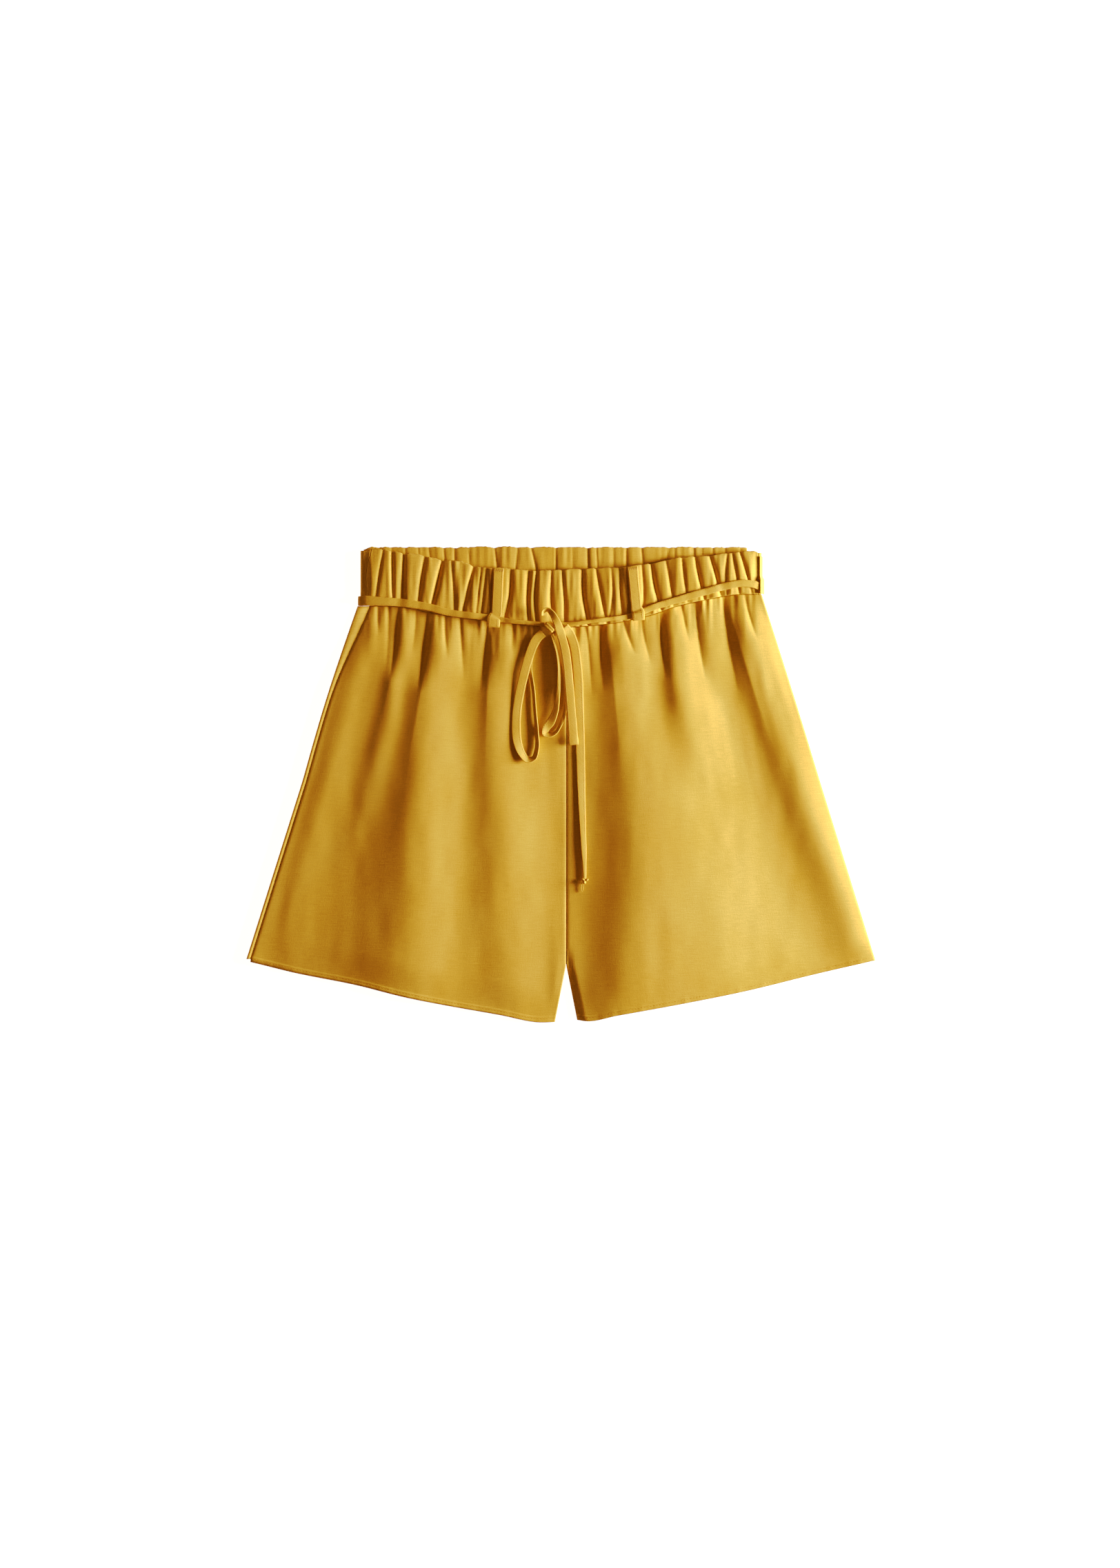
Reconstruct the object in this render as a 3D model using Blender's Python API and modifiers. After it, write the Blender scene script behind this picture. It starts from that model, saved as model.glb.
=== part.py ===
"""Linen shorts lying flat, front side up, with an elastic waistband and a tie in a bow.

Metres, +Z up. The waist points to +Y and the wearer's left leg to +X. The back lies on z = 0.
Tables and sizes are in millimetres, and are turned into metres where a mesh is made.
"""

from collections import namedtuple

import bmesh
import bpy
import numpy as np

METRES = 0.001

# Driving dimensions of the cloth, mm
LEG_WALL = 1.0
BAND_WALL = 1.4
TAPE_WALL = 0.9
SEAM_GAP = 0.3
WAIST_LEFT = -174.6
WAIST_RIGHT = 174.6
HIP_LEFT = WAIST_LEFT - 2.0
HIP_RIGHT = WAIST_RIGHT + 3.4
CENTRE_SEAM = 5.0
HIP_BULGE = (1.8, 0.4)
HEM_CORNER_LEFT = (-272.0, -148.0)
HEM_CORNER_RIGHT = (272.0, -148.0)
BACK_TOP = 207.0
BACK_HEM_RISE = 2.0
TIE_WIDTH = 8.0
BELT_LOOP_WIDTH = 9.0
UNDER_STRIP = 9.0

# Heights above the surface that the shorts lie on, mm
LEG_EDGE = 5.4
LEFT_SIDE_EDGE = 9.4
EDGE_REACH = 2.2
BAND_EDGE = 6.6
LEG_LOW = LEG_WALL + SEAM_GAP + LEG_WALL
BACK_BAND_LOW = 1.5
BACK_BAND_PILLOW = 1.7
BAND_LOW = BACK_BAND_LOW + BACK_BAND_PILLOW + SEAM_GAP + BAND_WALL
BAND_PILLOW = 4.6
UNDER_TIE = TAPE_WALL + SEAM_GAP
UNDER_LOOP = 2 * TAPE_WALL + 2 * SEAM_GAP

# Edges of the panels as (x, y) points, mm, from the wearer's right to the left
BAND_TOP = (
    (-164.0, 204.4), (-159, 204.4), (-145, 202.4), (-120, 198.6), (-106, 195.4), (-88, 193.6), (-74, 189.2),
    (-55, 187.8), (-8, 186), (16, 187.2), (52, 188.6), (78, 192), (103, 196.8), (126, 198.6),
    (146, 200.7), (163, 202.6), (168.5, 202.0), (171.4, 200.4),
)
WAIST_SEAM = (
    (-176.6, 155.5), (-140, 154.5), (-100, 147), (-64, 142.5), (-40, 140), (0, 137), (34, 139),
    (60, 143), (80, 148), (97, 154), (125, 160.5), (150, 165), (178.2, 165),
)
HEM_LEFT = (
    (-271.5, -153.4), (-233, -163), (-173, -175), (-137, -184), (-98, -192), (-53, -200),
    (-16, -206.6), (-5, -206.2),
)
HEM_RIGHT = (
    (14.3, -204.4), (22, -205.4), (49, -200.4), (105, -190.2), (165, -178.2), (217, -165.6),
    (271, -152.8),
)
HEM_SIDE_Y = -151.5
CROTCH = (4.7, -157.0)
SIDE_SEAM = ((-166.4, 155), (-168.6, 184), (-164.2, 206))
WAIST_Y_LEFT = 155.2
WAIST_Y_RIGHT = 164.7

# Steps of the panels' grids
LEG_ROWS = 15
LEG_COLUMNS = 54
BACK_ROWS = 8
BACK_COLUMNS = 8
BAND_ROWS = 5
BAND_COLUMNS = 140
BACK_BAND_COLUMNS = 88
ARC_STEPS = 5

# How high the legs stand over the table between their folds, by the distance below the waist seam
BASE = ((-20, 1.6), (0, 1.8), (10, 2.6), (30, 3.0), (90, 2.8), (200, 2.4), (330, 1.8))

# The large folds of the legs: each is a crest that runs down from the waist. Its left flank
# climbs at rise and its right flank falls at fall (x at the top, middle and end of its length),
# to a height, over half-widths that are steep on the left and gentle on the right.
Crest = namedtuple("Crest", "y_top y_end rise fall height steep gentle")
LEG_CRESTS = (
    Crest(150, -160, (-170, -212, -252), (-168, -187, -232), (0.8, 1.6, 0.4), (5, 7, 10), (8, 12, 20)),
    Crest(152, -90, (-138, -164, -202), (-130, -148, -175), (2.6, 3.7, 0.0), (3, 8, 12), (8, 10, 20)),
    Crest(150, -190, (-109, -143, -166), (-95, -99, -103), (3.0, 8.4, 8.4), (3, 17, 34), (12, 24, 34)),
    Crest(146, -190, (-60, -69.5, -58), (-42, -35, -26), (3.6, 6.4, 4.0), (4, 16, 22), (9, 24, 26)),
    Crest(-100, -208, (-14, -13, -12), (-6, -5, -3), (0.0, 0.6, 0.8), (4, 4, 4), (5, 5, 5)),
    Crest(148, -190, (37, 46, 34), (58, 128, 170), (3.0, 11.0, 9.6), (4, 23, 20), (12, 50, 60)),
    Crest(156, -10, (88, 97, 112), (105, 125, 150), (4.0, 6.4, 0.0), (4, 8, 14), (8, 16, 28)),
    Crest(160, 70, (122, 127, 136), (132, 140, 150), (2.0, 1.8, 0.0), (3, 5, 6), (5, 9, 12)),
    Crest(160, -150, (143, 189, 250), (176, 240, 296), (3.6, 7.6, 7.4), (4, 14, 24), (10, 14, 14)),
)

# The short gathers under the waist seam: each a trough whose path is at x_top, x_mid and x_end
# between the heights y_top and y_end. Its depth is a share of the cloth's height there, and
# less than 0 for a ridge. Its flanks reach left and right, and widen by spread.
Fold = namedtuple("Fold", "x_top x_mid x_end y_top y_end top mid end left right spread")
LEG_FOLDS = (
    Fold(-159, -159, -158, 156, 130, 0.70, 0.45, 0.00, 3, 4, 1.2),
    Fold(-150, -150, -152, 156, 98, 0.60, 0.40, 0.00, 3, 5, 1.4),
    Fold(-141, -144, -148, 154, 90, 0.80, 0.70, 0.00, 4, 4, 1.4),
    Fold(-126, -127, -129, 150, 112, 0.60, 0.35, 0.00, 3, 4, 1.2),
    Fold(-116, -119, -124, 150, 80, 0.85, 0.80, 0.00, 5, 4, 1.6),
    Fold(-101, -100, -98, 147, 108, 0.55, 0.35, 0.00, 3, 4, 1.3),
    Fold(-87, -86, -84, 145, 92, 0.70, 0.45, 0.00, 3, 4, 1.6),
    Fold(-64, -66, -70, 142, 80, 0.85, 0.80, 0.00, 6, 5, 1.6),
    Fold(-42, -42, -43, 140, 116, 0.60, 0.40, 0.00, 3, 4, 1.2),
    Fold(-24, -24, -25, 139, 116, 0.60, 0.40, 0.00, 3, 4, 1.2),
    Fold(13, 13, 13, 138, 118, 0.60, 0.40, 0.00, 3, 3, 1.2),
    Fold(22, 25, 27, 139, 76, 0.70, 0.55, 0.00, 3, 4, 1.6),
    Fold(35, 35, 37, 141, 80, 0.88, 0.80, 0.00, 5, 5, 1.6),
    Fold(54, 59, 65, 143, 112, 0.55, 0.40, 0.00, 3, 4, 1.2),
    Fold(70, 73, 79, 146, 104, 0.60, 0.45, 0.00, 4, 5, 1.2),
    Fold(86, 88, 91, 152, 90, 0.80, 0.70, 0.00, 5, 5, 1.4),
    Fold(105, 108, 112, 156, 122, 0.50, 0.35, 0.00, 3, 4, 1.2),
    Fold(117, 120, 126, 160, 90, 0.65, 0.45, 0.00, 3, 4, 1.4),
    Fold(141, 146, 154, 164, 80, 0.85, 0.75, 0.00, 5, 5, 1.6),
    Fold(160, 164, 171, 165, 125, 0.55, 0.35, 0.00, 3, 4, 1.2),
)

# Gathers of the waistbands: each a trough from the top edge, at x_top, to the waist seam
Gather = namedtuple("Gather", "x_top x_mid x_low depth left right")
BAND_GATHERS = (
    Gather(-154, -158, -161.6, 0.40, 2.5, 3.5),
    Gather(-146.6, -146, -145.6, 0.60, 2.5, 4),
    Gather(-136.2, -137, -138, 0.90, 3, 5),
    Gather(-118, -121.5, -124.5, 0.60, 3, 4.5),
    Gather(-102.9, -108, -113.4, 0.90, 3, 5),
    Gather(-95, -93, -92, 0.35, 3, 4),
    Gather(-75.6, -81, -85.8, 0.70, 3, 5),
    Gather(-69, -71.4, -74, 0.35, 2.5, 3),
    Gather(-64.4, -67, -69.7, 0.45, 2.5, 3),
    Gather(-58.8, -59.6, -60.6, 0.60, 2.5, 3),
    Gather(-43, -44.6, -50, 0.60, 3, 4.5),
    Gather(-27.6, -29, -28, 0.80, 4, 5),
    Gather(-20.7, -22.6, -21, 0.80, 3, 3),
    Gather(-8, -8.4, -5.6, 0.50, 3, 4),
    Gather(1.2, 3, 3, 0.60, 3, 4),
    Gather(18.6, 19.5, 24, 0.90, 4, 4),
    Gather(30.6, 35, 39.6, 0.55, 3, 4),
    Gather(43.8, 45, 41, 0.35, 3, 3),
    Gather(51.2, 51.8, 54.2, 0.60, 3, 3),
    Gather(57.6, 58.8, 60.6, 0.50, 2.5, 3),
    Gather(70.5, 72, 71, 0.45, 3, 4),
    Gather(78.4, 81.6, 87.6, 0.90, 3, 5),
    Gather(91.2, 95, 97.8, 0.45, 3, 4),
    Gather(105, 107.5, 110, 0.50, 3, 4),
    Gather(116.4, 120, 124.8, 0.70, 3, 4.5),
    Gather(129.6, 134.5, 139.2, 0.90, 3, 5),
    Gather(144.6, 142.8, 144, 0.35, 2.5, 3),
    Gather(148.8, 152, 155, 0.45, 2.5, 3),
    Gather(155.4, 161, 166.2, 0.60, 3, 4),
)
BACK_GATHERS = (
    Gather(-158, -158, -158, 0.40, 3, 4),
    Gather(-147, -147, -147, 0.40, 3, 4),
    Gather(-135, -135.5, -136, 0.50, 3, 4),
    Gather(-124, -122, -121, 0.50, 3, 4),
    Gather(-115, -112, -111, 0.45, 3, 4),
    Gather(-102, -100, -99, 0.60, 3, 4),
    Gather(-92.5, -92, -92, 0.85, 4, 5),
    Gather(-80, -79, -78, 0.35, 3, 4),
    Gather(-57.6, -55, -54, 0.85, 3, 4),
    Gather(-37.5, -39.6, -41, 0.45, 3, 4),
    Gather(-25.8, -21, -19, 0.85, 3, 4),
    Gather(-4.2, -4.2, -4, 0.85, 3, 4),
    Gather(10, 10.5, 11, 0.35, 5, 5),
    Gather(23.4, 24, 25, 0.85, 3, 4),
    Gather(31, 32, 33, 0.70, 3, 4),
    Gather(46, 46, 46, 0.35, 4, 4),
    Gather(57, 57, 57, 0.80, 3, 4),
    Gather(70, 72, 73, 0.75, 3, 4),
    Gather(93.4, 91, 90, 0.55, 3, 4),
    Gather(99, 99, 99, 0.35, 3, 4),
    Gather(115.8, 116.4, 117, 0.60, 3, 4),
    Gather(123, 123, 123, 0.35, 3, 4),
    Gather(132, 133, 134, 0.60, 3, 4),
    Gather(142.8, 144, 145, 0.70, 3, 4),
    Gather(156, 156, 156, 0.45, 3, 4),
    Gather(163, 163, 163, 0.45, 3, 4),
)

# Routes of the tie: centre line, its lift above the cloth and its roll in degrees, 0 lying flat
Stop = namedtuple("Stop", "x y lift roll")
TIE_RIGHT_FRONT = (
    Stop(-14.5, 138.6, 3.2, 45), Stop(-20, 139.4, 3.9, 62), Stop(-30, 140.4, 4.1, 68),
    Stop(-40, 141.3, 4.0, 64), Stop(-46, 142, 3.0, 42), Stop(-53, 143.3, 1.2, 8),
    Stop(-66, 145.3, 0.8, 0), Stop(-81, 147, 0.8, 0), Stop(-99, 149.7, 0.8, 0),
    Stop(-113, 153.6, 0.8, 0), Stop(-140, 158.4, 0.8, 0), Stop(-169, 162, 0.8, 0),
)
TIE_LEFT_FRONT = (
    Stop(-4.9, 138.4, 2.2, 20), Stop(4, 139.6, 0.9, 0), Stop(12, 140.8, 1.8, 28),
    Stop(19, 141.8, 3.9, 62), Stop(28, 143.0, 4.2, 70), Stop(38, 144.4, 4.2, 68),
    Stop(46, 145.4, 3.2, 45), Stop(54, 146.2, 1.3, 10), Stop(62, 146.8, 0.8, 0),
    Stop(78, 148.6, 0.8, 0), Stop(99, 157.2, 0.8, 0), Stop(126, 164.4, 0.8, 0),
    Stop(146.4, 171.2, 0.8, 0), Stop(158, 172.6, 0.8, 0), Stop(168.4, 170.9, 0.8, 0),
)
LOOP_LEFT = (
    Stop(-15.4, 131.6, 2.6, 0), Stop(-20.6, 126.7, 2.6, 0), Stop(-26.6, 113.8, 2.9, 0),
    Stop(-31.4, 97.2, 3.2, 0), Stop(-35.4, 80.0, 1.7, 0), Stop(-38.0, 63.5, 0.9, 0),
    Stop(-38.6, 49.0, 0.9, 0), Stop(-37.4, 37.0, 1.6, 10), Stop(-33.6, 27.0, 3.0, 35),
    Stop(-28.4, 21.4, 4.4, 62), Stop(-23.6, 22.8, 4.7, 76), Stop(-20.9, 30.0, 4.7, 78),
    Stop(-20.9, 47.0, 4.7, 78), Stop(-22.4, 66.0, 4.7, 78), Stop(-23.9, 84.0, 4.5, 72),
    Stop(-25.6, 94.0, 2.6, 34), Stop(-26.4, 102.0, 1.0, 6), Stop(-25.0, 112.0, 0.9, 0),
    Stop(-21.4, 121.0, 0.9, 0), Stop(-16.6, 129.2, 0.9, 0),
)
LOOP_MIDDLE = (
    Stop(-6.6, 130.6, 3.7, 25), Stop(-4.8, 124.2, 5.1, 52), Stop(-2.7, 113.0, 5.7, 66),
    Stop(-1.6, 100.2, 5.7, 68), Stop(-1.8, 87.5, 5.2, 60), Stop(-3.6, 76.0, 3.8, 34),
    Stop(-5.6, 64.5, 3.0, 18), Stop(-9.2, 55.0, 3.2, 28), Stop(-13.2, 48.4, 4.2, 58),
    Stop(-13.6, 43.8, 4.7, 72), Stop(-9.6, 42.2, 4.7, 74), Stop(-4.4, 45.2, 4.5, 68),
    Stop(-0.6, 51.0, 3.0, 38), Stop(2.4, 58.6, 1.3, 8), Stop(4.6, 70.0, 0.9, 0),
    Stop(5.0, 84.0, 0.9, 0), Stop(3.4, 102.0, 0.9, 0), Stop(-0.4, 118.0, 0.9, 0),
    Stop(-4.6, 129.4, 0.9, 0),
)
TAIL_SHORT = (
    Stop(-15.2, 146.2, 4.8, -50), Stop(-14.8, 149.8, 5.4, -56), Stop(-11.8, 151.4, 6.2, -50),
    Stop(-8.2, 148.8, 7.0, -34), Stop(-4.8, 143.4, 7.4, -14), Stop(-2.2, 137.6, 6.8, 0),
    Stop(0.4, 129.4, 5.2, 0), Stop(3.4, 117.9, 4.2, 0), Stop(5.6, 104.0, 4.0, 0),
    Stop(7.0, 88.8, 3.8, 0), Stop(8.4, 72.4, 3.6, 0), Stop(9.9, 53.4, 3.3, 0),
    Stop(11.3, 34.4, 3.0, 0),
)
TAIL_LONG = (
    Stop(3.0, 136.6, 4.4, 0), Stop(7.3, 131.8, 3.6, 0), Stop(11.1, 122.9, 2.0, 0),
    Stop(13.7, 107.8, 1.1, 0), Stop(15.2, 90.0, 0.9, 0), Stop(16.0, 70.0, 0.9, 0),
    Stop(16.6, 50.0, 0.9, 0), Stop(17.1, 30.0, 0.9, 2), Stop(18.0, -4.0, 0.9, 4),
    Stop(19.6, -46.0, 1.0, 8), Stop(20.6, -68.0, 1.1, 10), Stop(20.9, -82.0, 1.1, 10),
)
# The long tail curls in towards its end: its width and wall there, by the share of its length
TAIL_SHARES = (0.0, 0.48, 0.66, 0.88, 0.94, 1.0)
TAIL_WIDTHS = (8.0, 7.8, 6.8, 4.9, 3.4, 2.6)
TAIL_WALLS = (0.9, 0.9, 1.0, 1.4, 1.6, 1.6)
KNOT_AT = (-9.6, 137.8)
KNOT_SIZE = (8.8, 12.0, 6.2)

# Belt loops on the front: centre line from the top edge of the band down over the tie
FrontLoop = namedtuple("FrontLoop", "name x_top y_top x_low y_low foot_shift")
FRONT_LOOPS = (
    FrontLoop("belt_loop_front_right", -53.7, 187.6, -56.2, 136.4, -2.2),
    FrontLoop("belt_loop_front_left", 62.2, 189.0, 66.6, 142.2, 1.0),
)
BACK_LOOPS = (("belt_loop_back_right", -78.0), ("belt_loop_back_left", 90.0))
SIDE_LOOP = "belt_loop_side_left"
SIDE_LOOP_Y = (198.0, 165.6)

LINEN = (0.577, 0.330, 0.062)
TAPE_LINEN = (0.539, 0.296, 0.050)


# ---- curves and heights ----------------------------------------------------------------


def smooth(stations, values, at):
    """Values on a smooth curve through a few rows, read at the given stations."""
    stations = np.asarray(stations, float)
    values = np.asarray(values, float)
    slopes = np.gradient(values, stations, axis=0)
    row = np.clip(np.searchsorted(stations, at, side="right") - 1, 0, len(stations) - 2)
    step = stations[row + 1] - stations[row]
    t = (at - stations[row]) / step
    if values.ndim > 1:
        t = t[..., None]
        step = step[..., None]
    return (
        (1 + 2 * t) * (1 - t) ** 2 * values[row]
        + t * (1 - t) ** 2 * step * slopes[row]
        + t * t * (3 - 2 * t) * values[row + 1]
        + t * t * (t - 1) * step * slopes[row + 1]
    )


def along(points, count):
    """Evenly spaced points on a smooth curve through a few points."""
    points = np.asarray(points, float)
    lengths = np.linalg.norm(np.diff(points[:, :2], axis=0), axis=1)
    stations = np.concatenate([[0.0], np.cumsum(lengths)])
    return smooth(stations, points, np.linspace(0, stations[-1], count))


def ease(t):
    """A soft step from 0 to 1."""
    t = np.clip(t, 0, 1)
    return t * t * (3 - 2 * t)


def curve_y(points, x):
    """The height of an edge curve at x, level past its ends."""
    xs = [p[0] for p in points]
    return smooth(xs, [p[1] for p in points], np.clip(x, xs[0], xs[-1]))


def side_x(y, waist_x, hem_corner):
    """The folded side edge of a leg: nearly straight, a little full at the hip."""
    down = (WAIST_Y_LEFT - y) / (WAIST_Y_LEFT - hem_corner[1])
    bulge = HIP_BULGE[waist_x > 0] * np.sin(np.pi * np.clip(down * 2, 0, 1))
    return waist_x + (hem_corner[0] - waist_x) * down + np.sign(waist_x) * bulge


def bell(s, left, right):
    """The section of a trough: 1 at its line, fading over left and right."""
    return np.exp(-((np.abs(s) / np.where(s < 0, left, right)) ** 1.4))


def fold_depth(fold, x, y):
    """How much of the height one fold takes away at x, y."""
    t = np.clip((fold.y_top - y) / (fold.y_top - fold.y_end), 0, 1)
    path = (1 - t) * (1 - 2 * t) * fold.x_top + 4 * t * (1 - t) * fold.x_mid
    path = path + t * (2 * t - 1) * fold.x_end
    depth = np.interp(t, (0, 0.5, 1), (fold.top, fold.mid, fold.end))
    wide = 1 + (fold.spread - 1) * t
    return depth * bell(x - path, fold.left * wide, fold.right * wide)


def at_third(values, t):
    """A value that is given at the top, middle and end of a fold, at the share t of its length."""
    top, middle, end = values
    return (1 - t) * (1 - 2 * t) * top + 4 * t * (1 - t) * middle + t * (2 * t - 1) * end


def crest_height(crest, x, y):
    """How high one large fold of the legs stands at x, y."""
    t = np.clip((crest.y_top - y) / (crest.y_top - crest.y_end), 0, 1)
    climb = (x - at_third(crest.rise, t)) / np.interp(t, (0, 0.5, 1), crest.steep)
    descent = (x - at_third(crest.fall, t)) / np.interp(t, (0, 0.5, 1), crest.gentle)
    height = np.interp(t, (0, 0.5, 1), crest.height)
    return height * 0.5 * np.maximum(np.tanh(climb) - np.tanh(descent), 0)


def leg_height(x, y):
    """The outer surface of the front legs above the table, mm."""
    below_waist = curve_y(WAIST_SEAM, x) - y
    puff = smooth([row[0] for row in BASE], [row[1] for row in BASE], below_waist)
    crests = sum(crest_height(crest, x, y) for crest in LEG_CRESTS)
    puff = puff + crests * (0.3 + 0.7 * ease(below_waist / 30))
    hem = np.where(x < CENTRE_SEAM, curve_y(HEM_LEFT, x), curve_y(HEM_RIGHT, x))
    puff = puff * (0.7 + 0.3 * ease((y - hem) / 30))
    for fold in LEG_FOLDS:
        puff = puff * (1 - fold_depth(fold, x, y))
    from_left = x - side_x(y, HIP_LEFT, HEM_CORNER_LEFT)
    from_right = side_x(y, HIP_RIGHT, HEM_CORNER_RIGHT) - x
    inside = ease((from_left - EDGE_REACH) / 24) * ease((from_right - EDGE_REACH) / 7)
    return LEG_LOW + inside * np.maximum(puff, 0) + (1 - inside) * (side_edge(x, y) - LEG_LOW)


def side_edge(x, y):
    """How high a leg stands at its folded side edge."""
    left_side = LEFT_SIDE_EDGE - 4.2 * ease((y - 40) / 110) - 3.6 * ease((-90 - y) / 90)
    return np.where(x < CENTRE_SEAM, LEG_EDGE, left_side)


def gather_height(gathers, x, down, pillow):
    """Puffs between the gathers of a band; down runs 0 to 1 from its top to its seam."""
    puff = pillow * (0.42 + 0.58 * np.sin(np.pi * np.clip(down, 0.0, 1)) ** 0.6)
    for gather in gathers:
        path = smooth((0, 0.5, 1), (gather.x_top, gather.x_mid, gather.x_low), down)
        puff = puff * (1 - gather.depth * bell(x - path, gather.left, gather.right))
    return puff


def band_height(x, y):
    """The outer surface of the front waistband above the table, mm."""
    top = curve_y(BAND_TOP, x)
    down = np.clip((top - y) / (top - curve_y(WAIST_SEAM, x)), 0, 1)
    height = BAND_LOW + gather_height(BAND_GATHERS, x, down, BAND_PILLOW)
    edge = np.minimum(x - WAIST_LEFT, WAIST_RIGHT - x) - BAND_EDGE / 2
    inside = ease(edge / 8)
    return inside * height + (1 - inside) * BAND_EDGE


def front_height(x, y):
    """The outer surface of the front, band and legs."""
    return np.where(y > curve_y(WAIST_SEAM, x), band_height(x, y), leg_height(x, y))


def tie_back_y(x):
    """The tie's centre line behind the waist."""
    return np.interp(x, (WAIST_LEFT, WAIST_RIGHT), (162.4, 170.0))


def back_band_top(x):
    """The top edge of the back waistband, rounded at the wearer's right."""
    return BACK_TOP - 2.8 * (1 - ease((x - WAIST_LEFT - BAND_EDGE / 2) / 8))


def back_band_low(x):
    """The lower edge of the back waistband."""
    return tie_back_y(x) - TIE_WIDTH / 2 - 1.5


def under_back(x, y):
    """The underside of the back waistband, raised where the tie and the loops pass under it."""
    over_tie = ease(1 - (np.abs(y - tie_back_y(x)) - TIE_WIDTH / 2 - 1) / 3) * UNDER_TIE
    over_loop = 0
    for _, loop_x in BACK_LOOPS:
        near = ease(1 - (np.abs(x - loop_x) - BELT_LOOP_WIDTH / 2 - 3.5) / 6)
        over_loop = over_loop + near * (UNDER_LOOP - UNDER_TIE)
    return over_tie + over_loop


def back_band_height(x, y):
    """The inside of the back waistband, which shows above the front's dip."""
    down = np.clip((BACK_TOP - y) / (BACK_TOP - back_band_low(x)), 0, 1)
    height = BACK_BAND_LOW + gather_height(BACK_GATHERS, x, down, BACK_BAND_PILLOW)
    return np.maximum(height, under_back(x, y) + 1.0)


def bed(surface, x, y, reach=6.5, soften=2.5):
    """A soft surface over the crests around x, y, for what lies on the cloth."""
    x = np.asarray(x, float)
    y = np.asarray(y, float)
    total = 0
    turns = np.linspace(0, 2 * np.pi, 8, endpoint=False)
    for around in turns:
        near_x = x + soften * np.cos(around)
        near_y = y + soften * np.sin(around)
        highest = surface(near_x, near_y)
        for share in (0.5, 1.0):
            for turn in turns:
                there = surface(
                    near_x + share * reach * np.cos(turn), near_y + share * reach * np.sin(turn)
                )
                highest = np.maximum(highest, there)
        total = total + highest
    return total / len(turns)


# ---- mesh making -----------------------------------------------------------------------


def material(name, colour, roughness):
    made = bpy.data.materials.new(name)
    made.use_nodes = True
    shader = made.node_tree.nodes["Principled BSDF"]
    shader.inputs["Base Color"].default_value = (*colour, 1.0)
    shader.inputs["Roughness"].default_value = roughness
    shader.inputs["Metallic"].default_value = 0.0
    return made


def add_object(name, made, colour, collection):
    """An object in metres from a bmesh in millimetres, with its own material."""
    bmesh.ops.scale(made, vec=(METRES, METRES, METRES), verts=made.verts)
    mesh = bpy.data.meshes.new(name)
    made.to_mesh(mesh)
    made.free()
    mesh.shade_smooth()
    mesh.materials.append(material(name + "_linen", colour, 0.9))
    piece = bpy.data.objects.new(name, mesh)
    collection.objects.link(piece)
    return piece


def add_grid(made, grid, flip=False):
    """Rows and columns of points as quads; returns the vertices."""
    verts = [[made.verts.new(point) for point in row] for row in grid]
    for j in range(len(verts) - 1):
        for i in range(len(verts[0]) - 1):
            corners = [verts[j][i], verts[j + 1][i], verts[j + 1][i + 1], verts[j][i + 1]]
            made.faces.new(corners[::-1] if flip else corners)
    return verts


def cloth(name, grid, wall, colour, collection):
    """A cloth panel: its outer surface as a grid, thickened inwards."""
    made = bmesh.new()
    add_grid(made, grid)
    piece = add_object(name, made, colour, collection)
    solidify = piece.modifiers.new("cloth", "SOLIDIFY")
    solidify.thickness = wall * METRES
    solidify.offset = -1.0
    return piece


def uneven_cloth(name, outer, inner, colour, collection):
    """A cloth panel of uneven thickness, from its outer and its inner surface."""
    made = bmesh.new()
    out = add_grid(made, outer)
    back = add_grid(made, inner, flip=True)
    rim_out = out[0] + [row[-1] for row in out[1:]] + out[-1][-2::-1] + [row[0] for row in out[-2:0:-1]]
    rim_in = back[0] + [row[-1] for row in back[1:]] + back[-1][-2::-1]
    rim_in = rim_in + [row[0] for row in back[-2:0:-1]]
    for k in range(len(rim_out)):
        after = (k + 1) % len(rim_out)
        made.faces.new([rim_out[k], rim_out[after], rim_in[after], rim_in[k]])
    bmesh.ops.recalc_face_normals(made, faces=made.faces)
    return add_object(name, made, colour, collection)


def patch(top, bottom, left, right):
    """Points that fill four edge curves; rows run from top to bottom."""
    u = np.linspace(0, 1, len(top))[None, :, None]
    v = np.linspace(0, 1, len(left))[:, None, None]
    corners = (
        (1 - u) * (1 - v) * top[0]
        + u * (1 - v) * top[-1]
        + (1 - u) * v * bottom[0]
        + u * v * bottom[-1]
    )
    return (
        (1 - v) * top[None]
        + v * bottom[None]
        + (1 - u) * left[:, None]
        + u * right[:, None]
        - corners
    )


def table_height(x, y):
    """Flat on what the shorts lie on."""
    return 0.0 * (x + y)


def raised(flat, surface):
    """Flat points lifted onto a surface."""
    z = surface(flat[..., 0], flat[..., 1])
    return np.concatenate([flat, np.broadcast_to(z, flat.shape[:2])[..., None]], axis=2)


def round_edge(flat_x, y, low, high, side, steps, reach):
    """Points round a folded edge from the underside at low up to the top at high."""
    high = np.broadcast_to(high, len(flat_x))[:, None]
    turns = np.linspace(-np.pi / 2, np.pi / 2, steps)[None, :]
    x = flat_x[:, None] + side * reach * np.cos(turns)
    z = (low + high) / 2 + (high - low) / 2 * np.sin(turns)
    return np.stack([x, y[:, None] + 0 * x, z], axis=2)


def tape_section(centre, side_way, up_way, width, wall):
    """Four corners of a tape's section."""
    half = side_way * width / 2
    thick = up_way * wall / 2
    return [centre - half - thick, centre + half - thick, centre + half + thick, centre - half + thick]


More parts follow.
